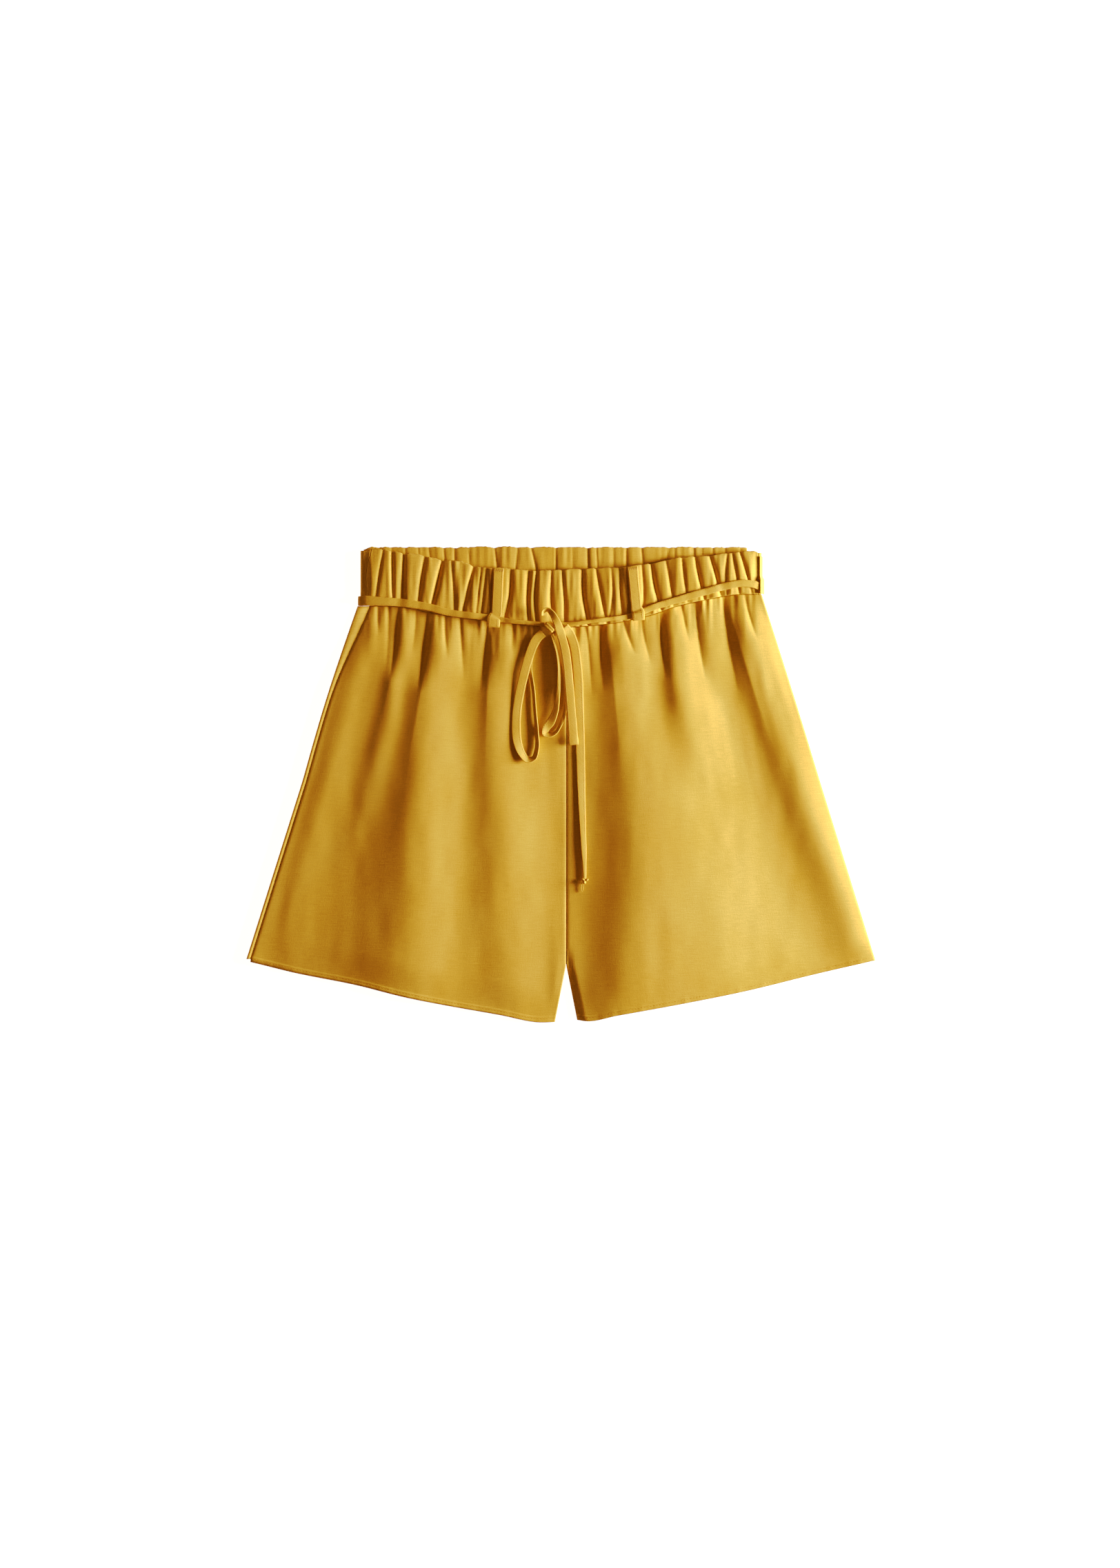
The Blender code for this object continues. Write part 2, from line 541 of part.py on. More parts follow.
def tape(name, centres, rolls, collection, width=TIE_WIDTH, wall=TAPE_WALL, ups=None):
    """A flat tape along its centre line, turned by its rolls about that line."""
    centres = np.asarray(centres, float)
    widths = np.broadcast_to(width, len(centres))
    walls = np.broadcast_to(wall, len(centres))
    ways = np.gradient(centres, axis=0)
    ways = ways / np.linalg.norm(ways, axis=1)[:, None]
    if ups is None:
        ups = np.tile((0.0, 0.0, 1.0), (len(centres), 1))
    made = bmesh.new()
    rings = []
    for centre, way, up, roll, wide, thick in zip(centres, ways, ups, np.radians(rolls), widths, walls):
        level = np.cross(way, up)
        level = level / np.linalg.norm(level)
        above = np.cross(level, way)
        side_way = np.cos(roll) * level + np.sin(roll) * above
        up_way = np.cos(roll) * above - np.sin(roll) * level
        corners = tape_section(centre, side_way, up_way, wide, thick)
        rings.append([made.verts.new(corner) for corner in corners])
    for ring, after in zip(rings, rings[1:]):
        for k in range(4):
            made.faces.new([ring[k], ring[(k + 1) % 4], after[(k + 1) % 4], after[k]])
    made.faces.new(rings[0])
    made.faces.new(rings[-1][::-1])
    bmesh.ops.recalc_face_normals(made, faces=made.faces)
    return add_object(name, made, TAPE_LINEN, collection)


# ---- the pieces ------------------------------------------------------------------------


def side_curve(waist_x, hem_corner, y_top, y_bottom, count, inset):
    """A line along a leg's side edge, inset from it."""
    y = np.linspace(y_top, y_bottom, count)
    x = side_x(y, waist_x, hem_corner) - np.sign(waist_x) * inset
    return np.stack([x, y], axis=1)


def inner_curve(side, top_y, hem_point, count):
    """The centre seam down to the crotch, then the inseam to the hem."""
    x = CENTRE_SEAM + side * SEAM_GAP / 2
    crotch = (CROTCH[0] + side * SEAM_GAP / 2, CROTCH[1])
    points = np.array([(x, top_y), crotch, hem_point])
    lengths = np.linalg.norm(np.diff(points, axis=0), axis=1)
    stations = np.concatenate([[0.0], np.cumsum(lengths)])
    at = np.linspace(0, stations[-1], count)
    return np.stack([np.interp(at, stations, points[:, 0]), np.interp(at, stations, points[:, 1])], axis=1)


def strip_width(y):
    """How far the back comes round onto the front at the wearer's right side."""
    return 3.4 + 7.2 * ease((y - 60) / 96) ** 1.5


def front_right_leg(collection):
    """The front of the wearer's right leg, from the side seam to the centre seam."""
    left = side_curve(HIP_LEFT, HEM_CORNER_LEFT, WAIST_Y_LEFT, HEM_SIDE_Y, LEG_ROWS, 0)
    left[:, 0] += strip_width(left[:, 1]) + SEAM_GAP
    hem_in = HEM_LEFT[-1]
    right = inner_curve(-1, curve_y(WAIST_SEAM, CENTRE_SEAM) - SEAM_GAP, hem_in, LEG_ROWS)
    top_x = np.linspace(left[0, 0], right[0, 0], LEG_COLUMNS)
    top = np.stack([top_x, curve_y(WAIST_SEAM, top_x) - SEAM_GAP], axis=1)
    left[0] = top[0]
    hem_x = np.linspace(left[-1, 0], right[-1, 0], LEG_COLUMNS)
    bottom = np.stack([hem_x, curve_y(HEM_LEFT, hem_x)], axis=1)
    left[-1] = bottom[0]
    right[-1] = bottom[-1]
    grid = raised(patch(top, bottom, left, right), leg_height)
    cloth("front_right_leg", grid, LEG_WALL, LINEN, collection)


def front_left_leg(collection):
    """The front of the wearer's left leg; it goes round the side edge to a seam underneath."""
    radius = EDGE_REACH
    left = inner_curve(1, curve_y(WAIST_SEAM, CENTRE_SEAM) - SEAM_GAP, HEM_RIGHT[0], LEG_ROWS)
    right = side_curve(HIP_RIGHT, HEM_CORNER_RIGHT, WAIST_Y_RIGHT, HEM_SIDE_Y, LEG_ROWS, radius)
    top_x = np.linspace(left[0, 0], right[0, 0], LEG_COLUMNS)
    top = np.stack([top_x, curve_y(WAIST_SEAM, top_x) - SEAM_GAP], axis=1)
    right[0] = top[-1]
    hem_x = np.linspace(left[-1, 0], right[-1, 0], LEG_COLUMNS)
    bottom = np.stack([hem_x, curve_y(HEM_RIGHT, hem_x)], axis=1)
    left[-1] = bottom[0]
    right[-1] = bottom[-1]
    over = raised(patch(top, bottom, left, right), leg_height)
    arc = round_edge(right[:, 0], right[:, 1], 0.0, over[:, -1, 2], 1, ARC_STEPS, radius)[:, ::-1]
    seam = np.stack([right[:, 0] - UNDER_STRIP, right[:, 1], np.zeros(LEG_ROWS)], axis=1)
    grid = np.concatenate([over[:, :-1], arc, seam[:, None]], axis=1)
    cloth("front_left_leg", grid, LEG_WALL, LINEN, collection)


def back_top(x):
    """The top edge of the back legs, a seam's gap below the band."""
    return back_band_low(x) - SEAM_GAP


def back_right_leg(collection):
    """The back of the wearer's right leg; it goes round the side edge to the seam on top."""
    radius = EDGE_REACH
    left = side_curve(HIP_LEFT, HEM_CORNER_LEFT, WAIST_Y_LEFT, HEM_SIDE_Y, LEG_ROWS, 0)
    left[-1, 1] += BACK_HEM_RISE
    left[:, 0] += radius
    right = inner_curve(-1, back_top(CENTRE_SEAM), HEM_LEFT[-1], LEG_ROWS)
    top_x = np.linspace(left[0, 0], right[0, 0], BACK_COLUMNS)
    top = np.stack([top_x, back_top(top_x)], axis=1)
    left[0] = top[0]
    hem_x = np.linspace(left[-1, 0], right[-1, 0], BACK_COLUMNS)
    bottom = np.stack([hem_x, curve_y(HEM_LEFT, hem_x) + BACK_HEM_RISE], axis=1)
    left[-1] = bottom[0]
    right[-1] = bottom[-1]
    under = raised(patch(top, bottom, left, right), table_height)[:, ::-1]
    edge_z = leg_height(left[:, 0], left[:, 1])
    arc = round_edge(left[:, 0], left[:, 1], 0.0, edge_z, -1, ARC_STEPS, radius)
    seam_x = left[:, 0] - radius + strip_width(left[:, 1])
    seam = np.stack([seam_x, left[:, 1], leg_height(seam_x, left[:, 1])], axis=1)
    grid = np.concatenate([under[:, :-1], arc, seam[:, None]], axis=1)
    cloth("back_right_leg", grid, LEG_WALL, LINEN, collection)


def back_left_leg(collection):
    """The back of the wearer's left leg, flat on the table."""
    inset = EDGE_REACH + UNDER_STRIP + SEAM_GAP
    y_low = HEM_SIDE_Y + BACK_HEM_RISE
    left = inner_curve(1, back_top(CENTRE_SEAM), HEM_RIGHT[0], BACK_ROWS)
    right = side_curve(HIP_RIGHT, HEM_CORNER_RIGHT, back_top(HIP_RIGHT), y_low, BACK_ROWS, inset)
    top_x = np.linspace(left[0, 0], right[0, 0], BACK_COLUMNS)
    top = np.stack([top_x, back_top(top_x)], axis=1)
    right[0] = top[-1]
    hem_x = np.linspace(left[-1, 0], right[-1, 0], BACK_COLUMNS)
    bottom = np.stack([hem_x, curve_y(HEM_RIGHT, hem_x) + BACK_HEM_RISE], axis=1)
    left[-1] = bottom[0]
    right[-1] = bottom[-1]
    grid = raised(patch(top, bottom, left, right), table_height)[:, ::-1]
    cloth("back_left_leg", grid, LEG_WALL, LINEN, collection)


def side_seam_x(y):
    """The waistband's side seam, which shows on the front at the wearer's right."""
    return smooth([row[1] for row in SIDE_SEAM], [row[0] for row in SIDE_SEAM], y)


def waistband_front(collection):
    """The front of the waistband; at the wearer's left it goes round the edge and under."""
    radius = BAND_EDGE / 2
    share = np.linspace(0, 1, BAND_ROWS)[:, None]
    columns = np.linspace(0, 1, BAND_COLUMNS)[None, :]
    start = side_seam_x(205.3 - 50 * share) + SEAM_GAP
    x = start + (WAIST_RIGHT - radius - start) * columns
    top = curve_y(BAND_TOP, x)
    y = top + (curve_y(WAIST_SEAM, x) - top) * share
    over = np.stack([x, y, band_height(x, y)], axis=2)
    edge_y = y[:, -1]
    edge_x = np.full(BAND_ROWS, WAIST_RIGHT - radius)
    arc = round_edge(edge_x, edge_y, 0.0, BAND_EDGE, 1, ARC_STEPS, radius)[:, ::-1]
    seam = np.stack([edge_x - UNDER_STRIP, edge_y, np.zeros(BAND_ROWS)], axis=1)
    arc = lift_over_tie(arc)
    seam[:, 2] = under_back(seam[:, 0], seam[:, 1])
    grid = np.concatenate([over[:, :-1], arc, seam[:, None]], axis=1)
    cloth("waistband_front", grid, BAND_WALL, LINEN, collection)


def lift_over_tie(arc):
    """The lower half of a folded edge raised clear of the tie that goes round it."""
    low = under_back(arc[..., 0], arc[..., 1])
    arc = arc.copy()
    arc[..., 2] = low + arc[..., 2] * (BAND_EDGE - low) / BAND_EDGE
    return arc


def waistband_back(collection):
    """The back of the waistband; at the wearer's right it comes round onto the front."""
    radius = BAND_EDGE / 2
    left = WAIST_LEFT + radius
    right = WAIST_RIGHT - radius - UNDER_STRIP - SEAM_GAP
    x = np.linspace(right, left, BACK_BAND_COLUMNS)
    tie_top = tie_back_y(x) + TIE_WIDTH / 2
    plain = tie_top + 5
    top = back_band_top(x)
    y = np.stack(
        [
            top,
            top + (plain - top) / 3,
            top + (plain - top) * 2 / 3,
            plain,
            tie_top + 1,
            back_band_low(x),
        ]
    )
    x = np.broadcast_to(x, y.shape)
    under = np.stack([x, y, under_back(x, y)], axis=2)
    inside = np.stack([x, y, back_band_height(x, y)], axis=2)
    edge_y = y[:, -1]
    edge_x = np.full(len(y), left)
    arc = lift_over_tie(round_edge(edge_x, edge_y, 0.0, BAND_EDGE, -1, ARC_STEPS, radius))
    centre = np.array([left, 0.0, BAND_EDGE / 2])
    arc_in = arc.copy()
    low = under_back(arc[..., 0], arc[..., 1])
    middle = (low + BAND_EDGE) / 2
    shrink = 1 - BAND_WALL / np.maximum((BAND_EDGE - low) / 2, BAND_WALL + 0.6)
    arc_in[..., 0] = centre[0] + (arc[..., 0] - centre[0]) * shrink
    arc_in[..., 2] = middle + (arc[..., 2] - middle) * shrink
    seam_x = side_seam_x(edge_y)
    seam = np.stack([seam_x, edge_y, band_height(seam_x, edge_y)], axis=1)[:, None]
    seam_in = seam - np.array([0.0, 0.0, BAND_WALL])
    outer = np.concatenate([under[:, :-1], arc, seam], axis=1)
    inner = np.concatenate([inside[:, :-1], arc_in, seam_in], axis=1)
    uneven_cloth("waistband_back", outer, inner, LINEN, collection)


def stops_on_cloth(stops, count, reach=6.5):
    """A tape's centre line and rolls from its stops, laid on the cloth."""
    rows = along([(stop.x, stop.y, stop.lift, stop.roll) for stop in stops], count)
    z = bed(front_height, rows[:, 0], rows[:, 1], reach) + rows[:, 2]
    return np.stack([rows[:, 0], rows[:, 1], z], axis=1), rows[:, 3]


def tape_round_edge(x, y, side, top, low):
    """The tape's way round the folded side of the band, from its top to its underside."""
    clear = SEAM_GAP + TAPE_WALL / 2
    middle = (top + low) / 2
    radius = (top - low) / 2
    turns = np.linspace(np.pi / 2, -np.pi / 2, 7)[1:]
    centres = [(x + side * (radius + clear) * np.cos(t), y, middle + radius * np.sin(t)) for t in turns]
    ups = [(side * np.cos(t), 0.0, np.sin(t)) for t in turns]
    return np.array(centres), np.array(ups)


def tie_front(name, stops, count, side, collection):
    """One half of the tie on the front, from the knot round the side edge."""
    centres, rolls = stops_on_cloth(stops, count)
    edge_x = side * (WAIST_RIGHT - BAND_EDGE / 2)
    y = float(tie_back_y(edge_x))
    top = BAND_EDGE + SEAM_GAP + TAPE_WALL / 2 + 0.4
    round_centres, round_ups = tape_round_edge(edge_x, y, side, top, TAPE_WALL / 2)
    centres = np.concatenate([centres, round_centres])
    ups = np.concatenate([np.tile((0.0, 0.0, 1.0), (count, 1)), round_ups])
    rolls = np.concatenate([rolls * -side, np.zeros(len(round_centres))])
    tape(name, centres, rolls, collection, ups=ups)


def tie_back(collection):
    """The tie behind the waist, under the band and over the back belt loops."""
    reach = WAIST_RIGHT - BAND_EDGE / 2 - SEAM_GAP
    step = BELT_LOOP_WIDTH / 2 + 0.6
    ramp = 4.0
    rows = [(-reach, 0)]
    for _, loop_x in BACK_LOOPS:
        rows += [(loop_x - step - ramp, 0), (loop_x - step, 1), (loop_x + step, 1)]
        rows += [(loop_x + step + ramp, 0)]
    rows += [(reach, 0)]
    x = np.array([row[0] for row in rows])
    z = TAPE_WALL / 2 + np.array([row[1] for row in rows]) * (TAPE_WALL + SEAM_GAP)
    tape("tie_back", np.stack([x, tie_back_y(x), z], axis=1), np.zeros(len(x)), collection)


def belt_loop_front(loop, collection):
    """A belt loop on the front: sewn at the band's top, over the tie, sewn below it."""
    share = np.linspace(0, 1, 18)
    x = loop.x_top + (loop.x_low - loop.x_top) * share + loop.foot_shift * ease((share - 0.76) / 0.1)
    y = loop.y_top + (loop.y_low - loop.y_top) * share
    z = bed(front_height, x, y) + SEAM_GAP + TAPE_WALL / 2
    tie_y = 145.4 if loop.x_top < 0 else 147.2
    z = z + (TAPE_WALL + 4 * SEAM_GAP) * ease(1 - (np.abs(y - tie_y) - TIE_WIDTH / 2 - 1.5) / 4)
    tape(loop.name, np.stack([x, y, z], axis=1), np.zeros(18), collection, BELT_LOOP_WIDTH)


def belt_loop_back(name, x, collection):
    """A belt loop behind the waist, flat on the table."""
    y = np.linspace(BACK_TOP - 2, back_band_low(x), 3)
    centres = np.stack([np.full(3, x), y, np.full(3, TAPE_WALL / 2)], axis=1)
    tape(name, centres, np.zeros(3), collection, BELT_LOOP_WIDTH)


def belt_loop_side(collection):
    """The belt loop at the wearer's left side edge: it follows the edge and stands off the tie."""
    y = np.linspace(*SIDE_LOOP_Y, 12)
    x = WAIST_RIGHT - BAND_EDGE / 2
    over_tie = ease(1 - (np.abs(y - tie_back_y(x)) - TIE_WIDTH / 2 - 1.5) / 4)
    reach = BAND_EDGE / 2 + SEAM_GAP + TAPE_WALL + over_tie * (TAPE_WALL + 3 * SEAM_GAP)
    turns = np.radians(np.linspace(-32, 52, 6))
    rows = [
        [(x + far * np.cos(turn), at, BAND_EDGE / 2 + 0.3 + far * np.sin(turn)) for turn in turns[::-1]]
        for at, far in zip(y, reach)
    ]
    cloth(SIDE_LOOP, np.array(rows), TAPE_WALL, TAPE_LINEN, collection)


def knot(collection):
    """The bow's knot: a small firm lump."""
    made = bmesh.new()
    bmesh.ops.create_uvsphere(made, u_segments=16, v_segments=10, radius=0.5)
    bmesh.ops.scale(made, vec=KNOT_SIZE, verts=made.verts)
    z = float(bed(front_height, np.array([KNOT_AT[0]]), np.array([KNOT_AT[1]]))[0])
    lift = (KNOT_AT[0], KNOT_AT[1], z + SEAM_GAP + KNOT_SIZE[2] / 2)
    bmesh.ops.translate(made, vec=lift, verts=made.verts)
    add_object("tie_knot", made, TAPE_LINEN, collection)


def build():
    for old in list(bpy.data.objects):
        bpy.data.objects.remove(old)
    collection = bpy.data.collections.new("linen_shorts")
    bpy.context.scene.collection.children.link(collection)
    back_right_leg(collection)
    back_left_leg(collection)
    front_right_leg(collection)
    front_left_leg(collection)
    waistband_back(collection)
    waistband_front(collection)
    tie_front("tie_front_right", TIE_RIGHT_FRONT, 30, -1, collection)
    tie_front("tie_front_left", TIE_LEFT_FRONT, 30, 1, collection)
    tie_back(collection)
    knot(collection)
    for name, stops, count in (
        ("tie_loop_left", LOOP_LEFT, 54),
        ("tie_loop_middle", LOOP_MIDDLE, 42),
        ("tie_tail_short", TAIL_SHORT, 38),
    ):
        centres, rolls = stops_on_cloth(stops, count)
        tape(name, centres, rolls, collection)
    centres, rolls = stops_on_cloth(TAIL_LONG, 36, 4.2)
    at = np.linspace(0, 1, 36)
    widths = np.interp(at, TAIL_SHARES, TAIL_WIDTHS)
    tape("tie_tail_long", centres, rolls, collection, widths, np.interp(at, TAIL_SHARES, TAIL_WALLS))
    for loop in FRONT_LOOPS:
        belt_loop_front(loop, collection)
    for name, x in BACK_LOOPS:
        belt_loop_back(name, x, collection)
    belt_loop_side(collection)


build()
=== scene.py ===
"""The looks of the linen shorts: their cloth, tie and stitches, with the light and the camera.

The tables are in millimetres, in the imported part's frame: +Z up, the waist towards +Y, the
wearer's left leg towards +X, and the back on z = 0. Meshes are turned into metres when made.
"""

from collections import namedtuple

import bpy
import numpy as np
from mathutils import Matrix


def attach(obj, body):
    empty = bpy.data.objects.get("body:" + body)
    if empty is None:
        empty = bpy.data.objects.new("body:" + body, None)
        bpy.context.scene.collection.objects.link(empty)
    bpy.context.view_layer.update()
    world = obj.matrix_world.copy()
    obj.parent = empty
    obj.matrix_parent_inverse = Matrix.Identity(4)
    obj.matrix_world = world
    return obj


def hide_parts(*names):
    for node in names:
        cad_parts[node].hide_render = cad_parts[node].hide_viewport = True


METRES = 0.001

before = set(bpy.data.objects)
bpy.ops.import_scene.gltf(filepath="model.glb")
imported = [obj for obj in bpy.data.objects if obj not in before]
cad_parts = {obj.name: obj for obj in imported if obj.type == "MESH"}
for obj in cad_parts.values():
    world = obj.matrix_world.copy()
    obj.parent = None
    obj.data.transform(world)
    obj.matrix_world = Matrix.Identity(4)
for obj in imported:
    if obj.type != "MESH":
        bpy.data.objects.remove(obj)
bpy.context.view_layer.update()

# Driving dimensions of the cloth, mm
LEG_WALL = 1.0
BAND_WALL = 1.4
TAPE_WALL = 0.9
SEAM_GAP = 0.3
# How far the front band's turned lower edge reaches below the legs' surface, and how far it is
# turned down at the least
LIP_DROP = 1.2
LIP_LEAST = 0.4
WAIST_LEFT = -174.6
WAIST_RIGHT = 174.6
HIP_LEFT = WAIST_LEFT - 2.0
HIP_RIGHT = WAIST_RIGHT + 3.4
CENTRE_SEAM = 5.0
HIP_BULGE = (1.8, 0.4)
HEM_CORNER_LEFT = (-272.0, -148.0)
HEM_CORNER_RIGHT = (272.0, -148.0)
BACK_TOP = 207.0
BACK_HEM_RISE = 2.0
TIE_WIDTH = 8.0
BELT_LOOP_WIDTH = 9.0
UNDER_STRIP = 9.0
# How far a leg's folded side edge stands out
EDGE_REACH = 1.3

# Heights above the surface that the shorts lie on, mm
LEG_EDGE = 5.4
LEFT_SIDE_EDGE = 10.4
BAND_EDGE = 6.6
LEG_LOW = LEG_WALL + SEAM_GAP + LEG_WALL
BACK_BAND_LOW = 1.5
BACK_BAND_PILLOW = 1.7
BAND_LOW = BACK_BAND_LOW + BACK_BAND_PILLOW + SEAM_GAP + BAND_WALL
BAND_PILLOW = 4.6
UNDER_TIE = TAPE_WALL + SEAM_GAP
UNDER_LOOP = 2 * TAPE_WALL + 2 * SEAM_GAP

# Edges of the panels as (x, y) points, mm, from the wearer's right to the left
BAND_TOP = (
    (-164.0, 204.4), (-159, 204.4), (-145, 202.4), (-120, 198.6), (-106, 195.4), (-88, 193.6), (-74, 189.2),
    (-55, 187.8), (-8, 186), (16, 187.2), (52, 188.6), (78, 192), (103, 196.8), (126, 198.6),
    (146, 200.7), (163, 202.6), (168.5, 202.0), (171.4, 200.4),
)
WAIST_SEAM = (
    (-176.6, 155.5), (-140, 154.5), (-100, 147), (-64, 142.5), (-40, 140), (0, 137), (34, 139),
    (60, 143), (80, 148), (97, 154), (125, 160.5), (150, 165), (178.2, 165),
)
HEM_LEFT = (
    (-271.5, -153.4), (-233, -163), (-173, -175), (-137, -184), (-98, -192), (-53, -200),
    (-16, -206.6), (-5, -206.2),
)
HEM_RIGHT = (
    (14.3, -204.4), (22, -205.4), (49, -200.4), (105, -190.2), (165, -178.2), (217, -165.6),
    (271, -152.8),
)
HEM_SIDE_Y = -151.5
# The hems' stitch lines: whose leg, its hem, and x at the start and the end
HEM_ROWS = (("right", HEM_LEFT, -266.0, -8.0), ("left", HEM_RIGHT, 17.0, 268.0))
CROTCH = (4.7, -157.0)
SIDE_SEAM = ((-166.4, 155), (-168.6, 184), (-164.2, 206))
SIDE_SEAM_TOP = 205.3
SIDE_SEAM_LENGTH = 50
WAIST_Y_LEFT = 155.2
WAIST_Y_RIGHT = 164.7
# At the wearer's right and left end of the waist
TIE_BACK_Y = (159.3, 172.0)
BACK_BAND_LOW_Y = (155.5, 166.5)

# Thickness of the shells that stand for the cloth, mm
LEG_SHELL = 0.6
BAND_SHELL = 0.4
# The fold at a band's top: its radius, how far the front's first row lies below the second, and
# how long the inner ply is on the front and the back
ROLL_RADIUS = 0.8
ROLL_STEPS = 8
ROLL_DROP = 0.15
INNER_PLY = (5.0, 3.0)
# The back band's underside: its top edge lies lower than the inside's, and it has fewer columns
UNDER_TOP_DROP = 1.2
UNDER_EVERY = 4
SIDE_STRIP_STEPS = 12

# The photograph's frame: millimetres of the shorts to one pixel, and the frame's middle
PIXEL = 0.6
IMAGE_SIZE = (1624, 2274)
VIEW_CENTRE = (-0.6, 0.6)
CAMERA_HEIGHT = 2400.0
SENSOR = 36.0
# Metres
CAMERA_CLIP = (0.05, 50)

# Steps of the panels' grids: rows as (from, to, steps) in shares of the length, and columns
LEG_ROWS = ((0.0, 0.085, 34), (0.085, 0.955, 140), (0.955, 1.0, 22))
LEG_COLUMNS = 212
BACK_ROWS = ((0.0, 0.94, 70), (0.94, 1.0, 8))
BACK_COLUMNS = 90
BAND_ROWS = ((0.0, 0.12, 8), (0.12, 0.88, 24), (0.88, 1.0, 9))
BAND_COLUMNS = 470
ARC_STEPS = 11

# How sharp the folds and the gathers are: 1 is a crease, 2 a soft hollow
FOLD_SHARPNESS = 0.95
GATHER_SHARPNESS = 1.05
SCALLOP_SHARPNESS = 1.4
GATHER_NARROWING = 0.46
# A fold's values are given at these shares of its length
TOP_MIDDLE_END = (0, 0.5, 1)
# The height of a band's puffs at its edges, as a share of their middle's, and how full they are
PILLOW_AT_EDGE = 0.42
PILLOW_FULLNESS = 0.6
# A band's top edge rises between its gathers and dips at them, to a limit
SCALLOP_RISE = 0.7
SCALLOP_DIP = 1.5
SCALLOP_LIMIT = 1.2
# The share of a band's height where the puckers of the waist seam start
PUCKERS_FROM = 0.7
# The width of a band's rounded corner and side edge, and how far the back's corner drops
CORNER_REACH = 8
CORNER_DROP = 2.8

# How far beside a tie or a belt loop what lies over it stays raised, and then the width over
# which it comes down
BESIDE_TIE = (1, 3)
BESIDE_LOOP = (3.5, 6)
BESIDE_TIE_AT_SIDE = (1.5, 4)
BESIDE_BACK_LOOP = (0.6, 4.0)
# The back band's least thickness over the tie
CLEAR_OF_TIE = 1.0
# The circle around a point that what lies on the cloth is carried by, and how much it's softened
BED_REACH = 6.5
BED_SOFTENED = 2.5
BED_WAYS = 8

HEM_WIDTH = 4.4
# The hem's fold: how proud it stands and how wide its rounded edge is. Its stitches draw it in.
HEM_PROUD = 0.45
HEM_ROUND = 1.2
HEM_DRAWN = 0.28
HEM_DRAWN_WIDTH = 0.6
HEM_ROPE_REACH = 5
HEM_STITCH_LINE = 3.2
HEM_STITCH_STEPS = 400
STITCH_PITCH = 2.7
STITCH_LENGTH = 2.0
STITCH_RADIUS = 0.2
STITCH_LIFT = 0.05
# A stitch's rings: where along it, and how much of its radius
STITCH_SHAPE = ((-0.5, 0.45), (-0.3, 1.0), (0.3, 1.0), (0.5, 0.45))
STITCH_SIDES = 6
# A bar tack: its stitches, the share of the loop's width that they reach to each side, and a
# stitch's length
TACK_COUNT = 9
TACK_REACH = 0.42
TACK_LENGTH = 1.9
TACK_LIFT = 0.04

# How high the legs stand over the table between their folds, by the distance below the waist seam
BASE = ((-20, 1.6), (0, 1.8), (10, 2.6), (30, 3.0), (90, 2.8), (200, 2.4), (330, 1.8))

# The large folds of the legs: each is a crest that runs down from the waist. Its left flank
# climbs at rise and its right flank falls at fall (x at the top, middle and end of its length),
# to a height, over half-widths that are steep on the left and gentle on the right.
Crest = namedtuple("Crest", "y_top y_end rise fall height steep gentle")
LEG_CRESTS = (
    Crest(150, -160, (-170, -218, -254), (-166, -195, -232), (0.8, 2.2, 0.8), (5, 6, 10), (8, 12, 20)),
    Crest(152, -90, (-138, -164, -202), (-130, -148, -175), (2.6, 3.7, 0.0), (3, 8, 12), (8, 10, 20)),
    Crest(150, -190, (-109, -143, -166), (-95, -99, -111), (3.0, 9.4, 11.2), (3, 18, 46), (12, 24, 32)),
    Crest(146, -190, (-60, -69.5, -58), (-42, -35, -26), (3.6, 6.9, 4.4), (4, 16, 22), (9, 24, 26)),
    Crest(140, 26, (-10, -13, -17), (13, 15, 18), (2.2, 3.6, 0.0), (5, 8, 10), (6, 7, 9)),
    Crest(-100, -208, (-8, -7, -6), (40, 40, 40), (0.0, 0.9, 1.3), (5, 5, 5), (30, 30, 30)),
    Crest(148, -190, (37, 46, 34), (58, 128, 170), (3.0, 11.0, 9.6), (4, 23, 20), (12, 50, 60)),
    Crest(156, -10, (88, 97, 112), (105, 125, 150), (3.4, 7.0, 0.0), (4, 8, 14), (13, 18, 28)),
    Crest(160, 70, (122, 127, 136), (132, 140, 150), (2.0, 1.8, 0.0), (3, 5, 6), (5, 9, 12)),
    Crest(160, -150, (143, 189, 250), (188, 250, 300), (3.6, 8.0, 8.4), (4, 14, 24), (10, 14, 14)),
)

# Near the waist a crest's left flank climbs ever more steeply and stops at a crisp edge
CRISP_AT = 0.3
CRISP_LENGTH = 1.9
CRISP_SHARE = 0.75
# The shares of a crest's length where the crisp edge starts to fade, and over which it does
CRISP_FADE = (0.1, 0.4)

